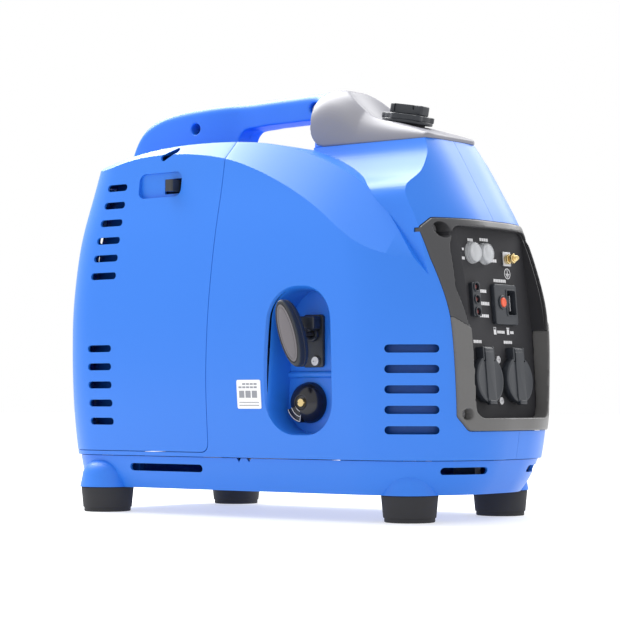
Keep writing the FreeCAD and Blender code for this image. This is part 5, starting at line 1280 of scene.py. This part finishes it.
    def outlet(self, side: str, y: float) -> None:
        """Round mains outlet with its contacts' slots, hinge ears and pin."""
        drum = Solid(out_of_plate([(0, -28), (20.6, -28), (20.6, 0), (25.5, 0), (25.5, 3.6), (24.8, 4.5),
                                   (20.0, 4.5), (19.0, 4.1), (18.5, 3.2), (18.5, -16), (0, -16)],
                                  y, self.outlet_z, 72))
        hinge = self.outlet_z + self.hinge_up
        parts = [ease(block(0, self.lid_out + 3, ear - 1.5, ear + 1.5, hinge - 12, hinge + 3.5), 0.8)
                 for ear in (y - 9.9, y + 9.9)]
        parts.append(rod(1.6, (self.lid_out, y - 11, hinge), (self.lid_out, y + 11, hinge), 20))
        slots = []
        for angle in (90, 210, 330):
            a = math.radians(angle)
            cy = y + self.contact_reach * math.cos(a)
            cz = self.outlet_z + self.contact_reach * math.sin(a)
            slots.append(block(-24, -15, cy - 1.2, cy + 1.2, cz - 3.5, cz + 3.5))
        drum.add(*parts).cut(*slots)
        dress(f"{side}_outlet_body", drum, Finish.BLACK, "housing", [f"{side}_ac_outlet"], 30.0, PANEL)

    def lid(self, side: str, y: float) -> None:
        """Flip lid with a raised band from its hinge to its lip."""
        z, hinge = self.outlet_z, self.outlet_z + self.hinge_up
        disc = Solid(out_of_plate([(0, 5), (27, 5), (27, 8.8), (26.5, 9.8), (25.4, 10.5), (23.6, 10.6),
                                   (22.8, 10.2), (0, 10.2)], y, z, 80))
        band = ease(block(7, 11.4, y - 8.6, y + 8.6, z - 24.5, hinge - 2), 0.7)
        tab = ease(block(5, 9.8, y - 7.9, y + 7.9, z + 18, hinge), 0.8)
        knuckle = ease(rod(3.8, (self.lid_out, y - 8, hinge), (self.lid_out, y + 8, hinge), 32), 0.4)
        lip = ease(block(7, 12.6, y - 7, y + 7, z - 28.4, z - 23.5), 1.0)
        relief = [block(4, 12, y + e * 10 - 2.0, y + e * 10 + 2.0, hinge - 13, hinge + 4) for e in (-1, 1)]
        bore = rod(1.7, (self.lid_out, y - 9, hinge), (self.lid_out, y + 9, hinge), 20)
        disc.add(band, tab, knuckle, lip).cut(*relief, bore)
        dress(f"{side}_lid_cover", disc, Finish.BLACK, f"{side}_lid", [f"{side}_outlet_lid"], 30.0, PANEL)

    def printing(self) -> None:
        """Plain bars and signs where the panel is printed."""
        def mark(*span: float) -> bmesh.types.BMesh:
            return bar(0.0, self.ink, *span)
        rows = ((-41.0, -30.0, 94.4, 3.4, 3), (-16.5, 1.0, 96.2, 3.4, 4), (-53.5, -49.5, 83.4, 2.8, 1),
                (-55.0, -49.3, 73.2, 3.2, 2), (4.6, 8.6, 84.0, 3.4, 1), (4.4, 15.6, 73.2, 3.6, 3),
                (-27.5, -10.5, 37.4, 3.6, 5), (-27.5, -6.0, 23.4, 3.8, 6), (-27.5, -9.0, 9.4, 3.4, 5),
                (6.0, 32.0, 50.6, 3.6, 7), (5.6, 21.0, -8.2, 3.2, 5), (32.6, 40.0, -8.2, 3.2, 2),
                (-44.5, -28.0, -20.0, 3.4, 5), (17.5, 35.0, -19.6, 3.4, 5))
        marks = []
        for y0, y1, z, height, count in rows:
            pitch, half = (y1 - y0) / count, height / 2
            marks += [mark(y0 + k * pitch, y0 + (k + 0.82) * pitch, z - half, z + half) for k in range(count)]
        marks += [mark(-1.6, 3.4, -11.2, -5.6), mark(-1.4, -0.7, -5.6, -3.4),
                  mark(2.5, 3.2, -5.6, -3.4), mark(-1.4, 3.2, -3.4, -2.8),
                  mark(25.6, 30.2, -10.8, -4.6), mark(25.0, 30.8, -4.0, -2.8)]
        cy, cz = 36.0, 59.5
        marks += [out_of_plate([(5.4, 0), (6.2, 0), (6.2, self.ink), (5.4, self.ink), (5.4, 0)], cy, cz, 40),
                  mark(cy - 0.5, cy + 0.5, cz, cz + 4.4)]
        marks += [mark(cy - w, cy + w, cz - d - 0.9, cz - d) for w, d in ((3.8, 0.0), (2.5, 1.7), (1.2, 3.2))]
        dress("panel_print", merged(marks), Finish.PRINT, "housing", (), 30.0, PANEL)


# ---------------------------------------------------------------- starter side
@dataclass
class Starter:
    """Pull grip with its rope, the rope's guide bracket and the engine knob."""

    grip_place: tuple = (85.5, -159.5, 210.0)
    grip_turn: float = 71.0
    rope_r: float = 2.25
    rope_y: tuple = (10.0, -152.0)
    strand_depth: float = 0.16
    strand_turn: float = 1.1        # radians of twist in 1 mm
    floor: float = -108.0
    knob_place: tuple = (79.0, -108.4, 132.0)
    fan_turns: tuple = (201.0, 262.0)
    # ovals of the grip: depth, long half axis, short half axis
    shell: tuple = ((2.1, 34.4, 10.7), (0.6, 34.4, 10.7), (0.1, 35.0, 11.2), (0.0, 36.2, 11.9),
                    (0.7, 38.2, 12.7), (2.2, 39.4, 13.2), (4.6, 40.0, 13.5), (9.0, 40.0, 13.5),
                    (9.4, 39.5, 13.1), (10.0, 39.5, 13.1), (10.4, 40.0, 13.5), (14.0, 39.8, 13.4),
                    (17.6, 37.2, 12.3), (20.4, 32.0, 10.4), (22.3, 26.0, 9.0), (23.0, 21.0, 8.0))
    inlay: tuple = ((2.0, 33.9, 10.2), (-0.1, 33.9, 10.2), (-0.6, 33.4, 9.8), (-0.5, 31.4, 8.4),
                    (-0.1, 31.0, 8.1), (-0.1, 30.4, 7.7), (-0.5, 29.8, 7.3), (-0.9, 24.0, 4.6),
                    (-1.0, 12.0, 1.8))

    def oval(self, steps: Sequence[Sequence[float]], name: str, finish: Finish, node: str) -> None:
        """Loft of ovals, each given as depth and two half axes, placed as the grip is."""
        rings = [[Vector((a * math.cos(math.tau * k / 72), depth, b * math.sin(math.tau * k / 72)))
                  for k in range(72)] for depth, a, b in steps]
        place = Matrix.Translation(self.grip_place) @ Matrix.Rotation(math.radians(self.grip_turn), 4, "Y")
        dress(name, loft(rings), finish, "starter_handle", [node], 34.0, place)

    def dress(self) -> None:
        """Make every piece of the starter pocket."""
        self.oval(self.shell, "grip_shell", Finish.BLACK, "starter_grip")
        self.oval(self.inlay, "grip_inlay", Finish.INLAY, "starter_grip_insert")
        self.rope()
        self.bracket()
        self.knob()

    def rope(self) -> None:
        """Braided rope from the pulley to the grip, left on no body."""
        x, z = self.grip_place[0], self.grip_place[2]
        y0, y1 = self.rope_y
        rings = []
        for k in range(121):
            y = y0 + (y1 - y0) * k / 120
            ring = []
            for j in range(16):
                a = math.tau * j / 16
                twist = y * self.strand_turn
                cross = abs(math.sin(2 * a + twist)) * abs(math.sin(2 * a - twist))
                r = self.rope_r - self.strand_depth * cross
                ring.append(Vector((x + r * math.cos(a), y, z + r * math.sin(a))))
            rings.append(ring)
        piece = dress("starter_rope_braid", loft(rings), Finish.ROPE, "", ["starter_rope"], 70.0)
        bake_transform(piece)

    def bracket(self) -> None:
        """Guide bracket with its hood, the flanged eye and a washer."""
        x, y, z = self.grip_place[0], self.floor, self.grip_place[2]
        plate = prism(rounded_box(x - 14.5, x + 14.5, 172, 232, 4), "y", y - 4, y)
        ease(plate, 0.8)
        hood = ease(block(x - 12, x + 12, y - 18, y - 3, 215, 230), 2.4)
        flange = [(2.9, -5), (8.8, -5), (8.8, 6.2), (8.2, 7.6), (6.9, 8.2), (5.4, 7.6), (3.4, 5.4),
                  (2.9, 3.5), (2.9, -5)]
        eye = Solid(moved(turned(flange, 48), Matrix.Translation((x, y, z)) @ OUT_OF_SIDE))
        bore = rod(2.9, (x, -140, z), (x, -95, z), 24)
        hole = rod(2.6, (x + 5, -130, 179), (x + 5, -104, 179), 24)
        plate.add(hood).cut(bore, hole).add(eye)
        dress("rope_guide", plate, Finish.BLACK, "housing", ["rope_bracket"], 30.0)
        washer = turned([(2.7, 4.0), (6.6, 4.0), (6.6, 4.6), (6.3, 4.8), (2.7, 4.8), (2.7, 4.0)], 40)
        place = Matrix.Translation((x + 5, y, 179)) @ OUT_OF_SIDE
        dress("bracket_washer", moved(washer, place), Finish.DARK_STEEL, "housing")

    def knob(self) -> None:
        """Glossy engine knob with a fan-shaped pointer and white arcs on it."""
        place = Matrix.Translation(self.knob_place) @ OUT_OF_SIDE
        dome = [(4.9, 0), (23.5, 0), (23.5, 2.6), (23.2, 3.6), (22.0, 8.0), (19.4, 12.0), (15.4, 15.2),
                (11.0, 17.2), (9.2, 17.8), (8.4, 17.6), (7.8, 16.4), (6.0, 15.6), (5.2, 15.6), (5.2, 15.0),
                (2.2, 15.0), (2.2, -6.0), (4.9, -16.0), (4.9, 0)]
        knob = Solid(turned(dome, 96))
        start, end = map(math.radians, self.fan_turns)

        def sector(r0: float, r1: float, low: float, high: float,
                   a0: float = start, a1: float = end) -> Solid:
            turns = [a0 + (a1 - a0) * k / 20 for k in range(21)]
            ring = [(r1 * math.cos(a), r1 * math.sin(a)) for a in turns]
            ring += [(r0 * math.cos(a), r0 * math.sin(a)) for a in reversed(turns)]
            return prism(ring, "z", low, high)
        room, fan = sector(8.8, 25.5, 9.6, 20.0), ease(sector(8.9, 23.0, 4.0, 15.2), 0.7, 50.0)
        knob.cut(room).add(fan)
        dress("engine_knob_body", knob, Finish.GLOSS, "knob", ["engine_knob"], 30.0, place)
        arcs = [sector(r, r + 0.7, 15.0, 15.4) for r in (10.0, 15.8, 21.4)]
        arcs.append(sector(10.0, 22.1, 15.0, 15.4, end - 0.035, end - 0.005))
        dress("knob_arcs", merged(arc.bm() for arc in arcs), Finish.PRINT, "knob", (), 30.0, place)


@dataclass
class RatingLabel:
    """Pale label on the side wall, with blank grey rows."""

    form: OuterForm
    x: tuple = (3.5, 38.5)
    z: tuple = (125.0, 158.0)

    def dress(self) -> None:
        """Make the label and its rows."""
        (x0, x1), (z0, z1) = self.x, self.z
        levels = self.form.levels
        core, skin, film = (self.form.wall_block(levels, grow, 60) for grow in (0.0, 0.8, 0.95))
        plate = prism(rounded_box(x0, x1, z0, z1, 2, 4), "y", -165.0, -130.0)
        plate.meet(skin).cut(core)
        dress("rating_label_plate", plate, Finish.LABEL, "housing", ["rating_label"], 40.0)
        marks = [bar(x0 + 3 + 5.6 * k, x0 + 7.4 + 5.6 * k, -165, -130, z, z + 2.0)
                 for k in range(5) for z in (z0 + 23.5, z0 + 27.2) if (k, z) != (0, z0 + 27.2)]
        marks += [bar(x0 + 3.5 + 9.4 * k, x0 + 11.0 + 9.4 * k, -165, -130, z0 + 12.5, z0 + 20.5)
                  for k in range(3)]
        marks += [bar(x0 + 3, x1 - 3, -165, -130, z0 + 3.4 + 3.4 * k, z0 + 4.3 + 3.4 * k) for k in range(2)]
        rows = Solid(merged(marks))
        rows.meet(film).cut(skin)
        dress("rating_label_rows", rows, Finish.INK, "housing", (), 40.0)


# ---------------------------------------------------------------- stage
@dataclass(frozen=True)
class Stage:
    """Floor, light and camera."""

    place: tuple = (1.5526, -1.9953, 0.135)
    heading: float = 38.0
    pitch: float = 2.454
    lens: float = 121.9

    def build(self) -> None:
        """Make the camera, the floor, the lamps and the sky."""
        self.camera()
        self.floor()
        self.lamp("top", (-1.3, 0.3, 2.2), 2.0, 125.0)
        self.lamp("front", (0.4, 2.2, 1.9), 1.6, 40.0)
        world = bpy.data.worlds.new("studio")
        world.use_nodes = True
        sky = world.node_tree.nodes["Background"].inputs
        sky["Color"].default_value, sky["Strength"].default_value = (1.0, 1.0, 1.0, 1.0), 1.0
        bpy.context.scene.world = world
        bpy.context.scene.view_settings.view_transform = "Standard"

    def camera(self) -> None:
        """Camera at the viewing angle."""
        data = bpy.data.cameras.new("view")
        data.lens, data.sensor_width = self.lens, 36.0
        data.clip_start, data.clip_end = 0.1, 50.0
        camera = bpy.data.objects.new("view", data)
        camera.location = self.place
        camera.rotation_euler = (math.radians(90.0 + self.pitch), 0.0, math.radians(self.heading))
        bpy.context.scene.collection.objects.link(camera)
        bpy.context.scene.camera = camera

    def floor(self) -> None:
        """Plain pale floor."""
        bm = bmesh.new()
        bmesh.ops.create_grid(bm, x_segments=2, y_segments=2, size=14.0)
        mesh = bpy.data.meshes.new("floor")
        bm.to_mesh(mesh)
        bm.free()
        floor = bpy.data.objects.new("floor", mesh)
        bpy.context.scene.collection.objects.link(floor)
        graph = Graph("floor", (0.45, 0.45, 0.45), Roughness=0.6, Emission_Strength=0.55)
        graph.shader.inputs["Emission Color"].default_value = (1.0, 1.0, 1.0, 1.0)
        floor.data.materials.append(graph.material)

    def lamp(self, name: str, place: Sequence[float], size: float, power: float) -> None:
        """Soft area light aimed at the object."""
        data = bpy.data.lights.new(name, "AREA")
        data.size, data.energy = size, power
        light = bpy.data.objects.new(name, data)
        light.location = place
        aim = Vector((0.0, 0.0, 0.25)) - Vector(place)
        light.rotation_euler = aim.to_track_quat("-Z", "Y").to_euler()
        bpy.context.scene.collection.objects.link(light)


SLOT_FINISH = {finish.value.slot: finish for finish in reversed(list(Finish))}


def dress_frame(frame: dict) -> None:
    """Give every CAD node that still shows the finish of its slot."""
    slots = {part["node"]: part["material_slot"] for part in frame["record"]["subparts"]}
    for name, node in frame["nodes"].items():
        node.data.materials.clear()
        # painted light: the baffles behind the louvres get the brightened blue against the shade they sit in
        finish = Finish.RECESS if name == "vent_baffles" else SLOT_FINISH[slots[name]]
        node.data.materials.append(finish.material())


def main() -> None:
    """Build the scene."""
    logging.basicConfig(level=logging.INFO, format="%(name)s %(message)s")
    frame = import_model()
    Stage().build()
    form = OuterForm()
    dress_frame(frame)
    covers, trim = Covers(form), TrimCap()
    for group in (covers, BaseTray(form), trim, Handle(form, trim), FillerCap(), Bezel(covers), Controls(),
                  Starter(), RatingLabel(form)):
        group.dress()
        Solid.sweep()


if __name__ == "__main__":
    main()
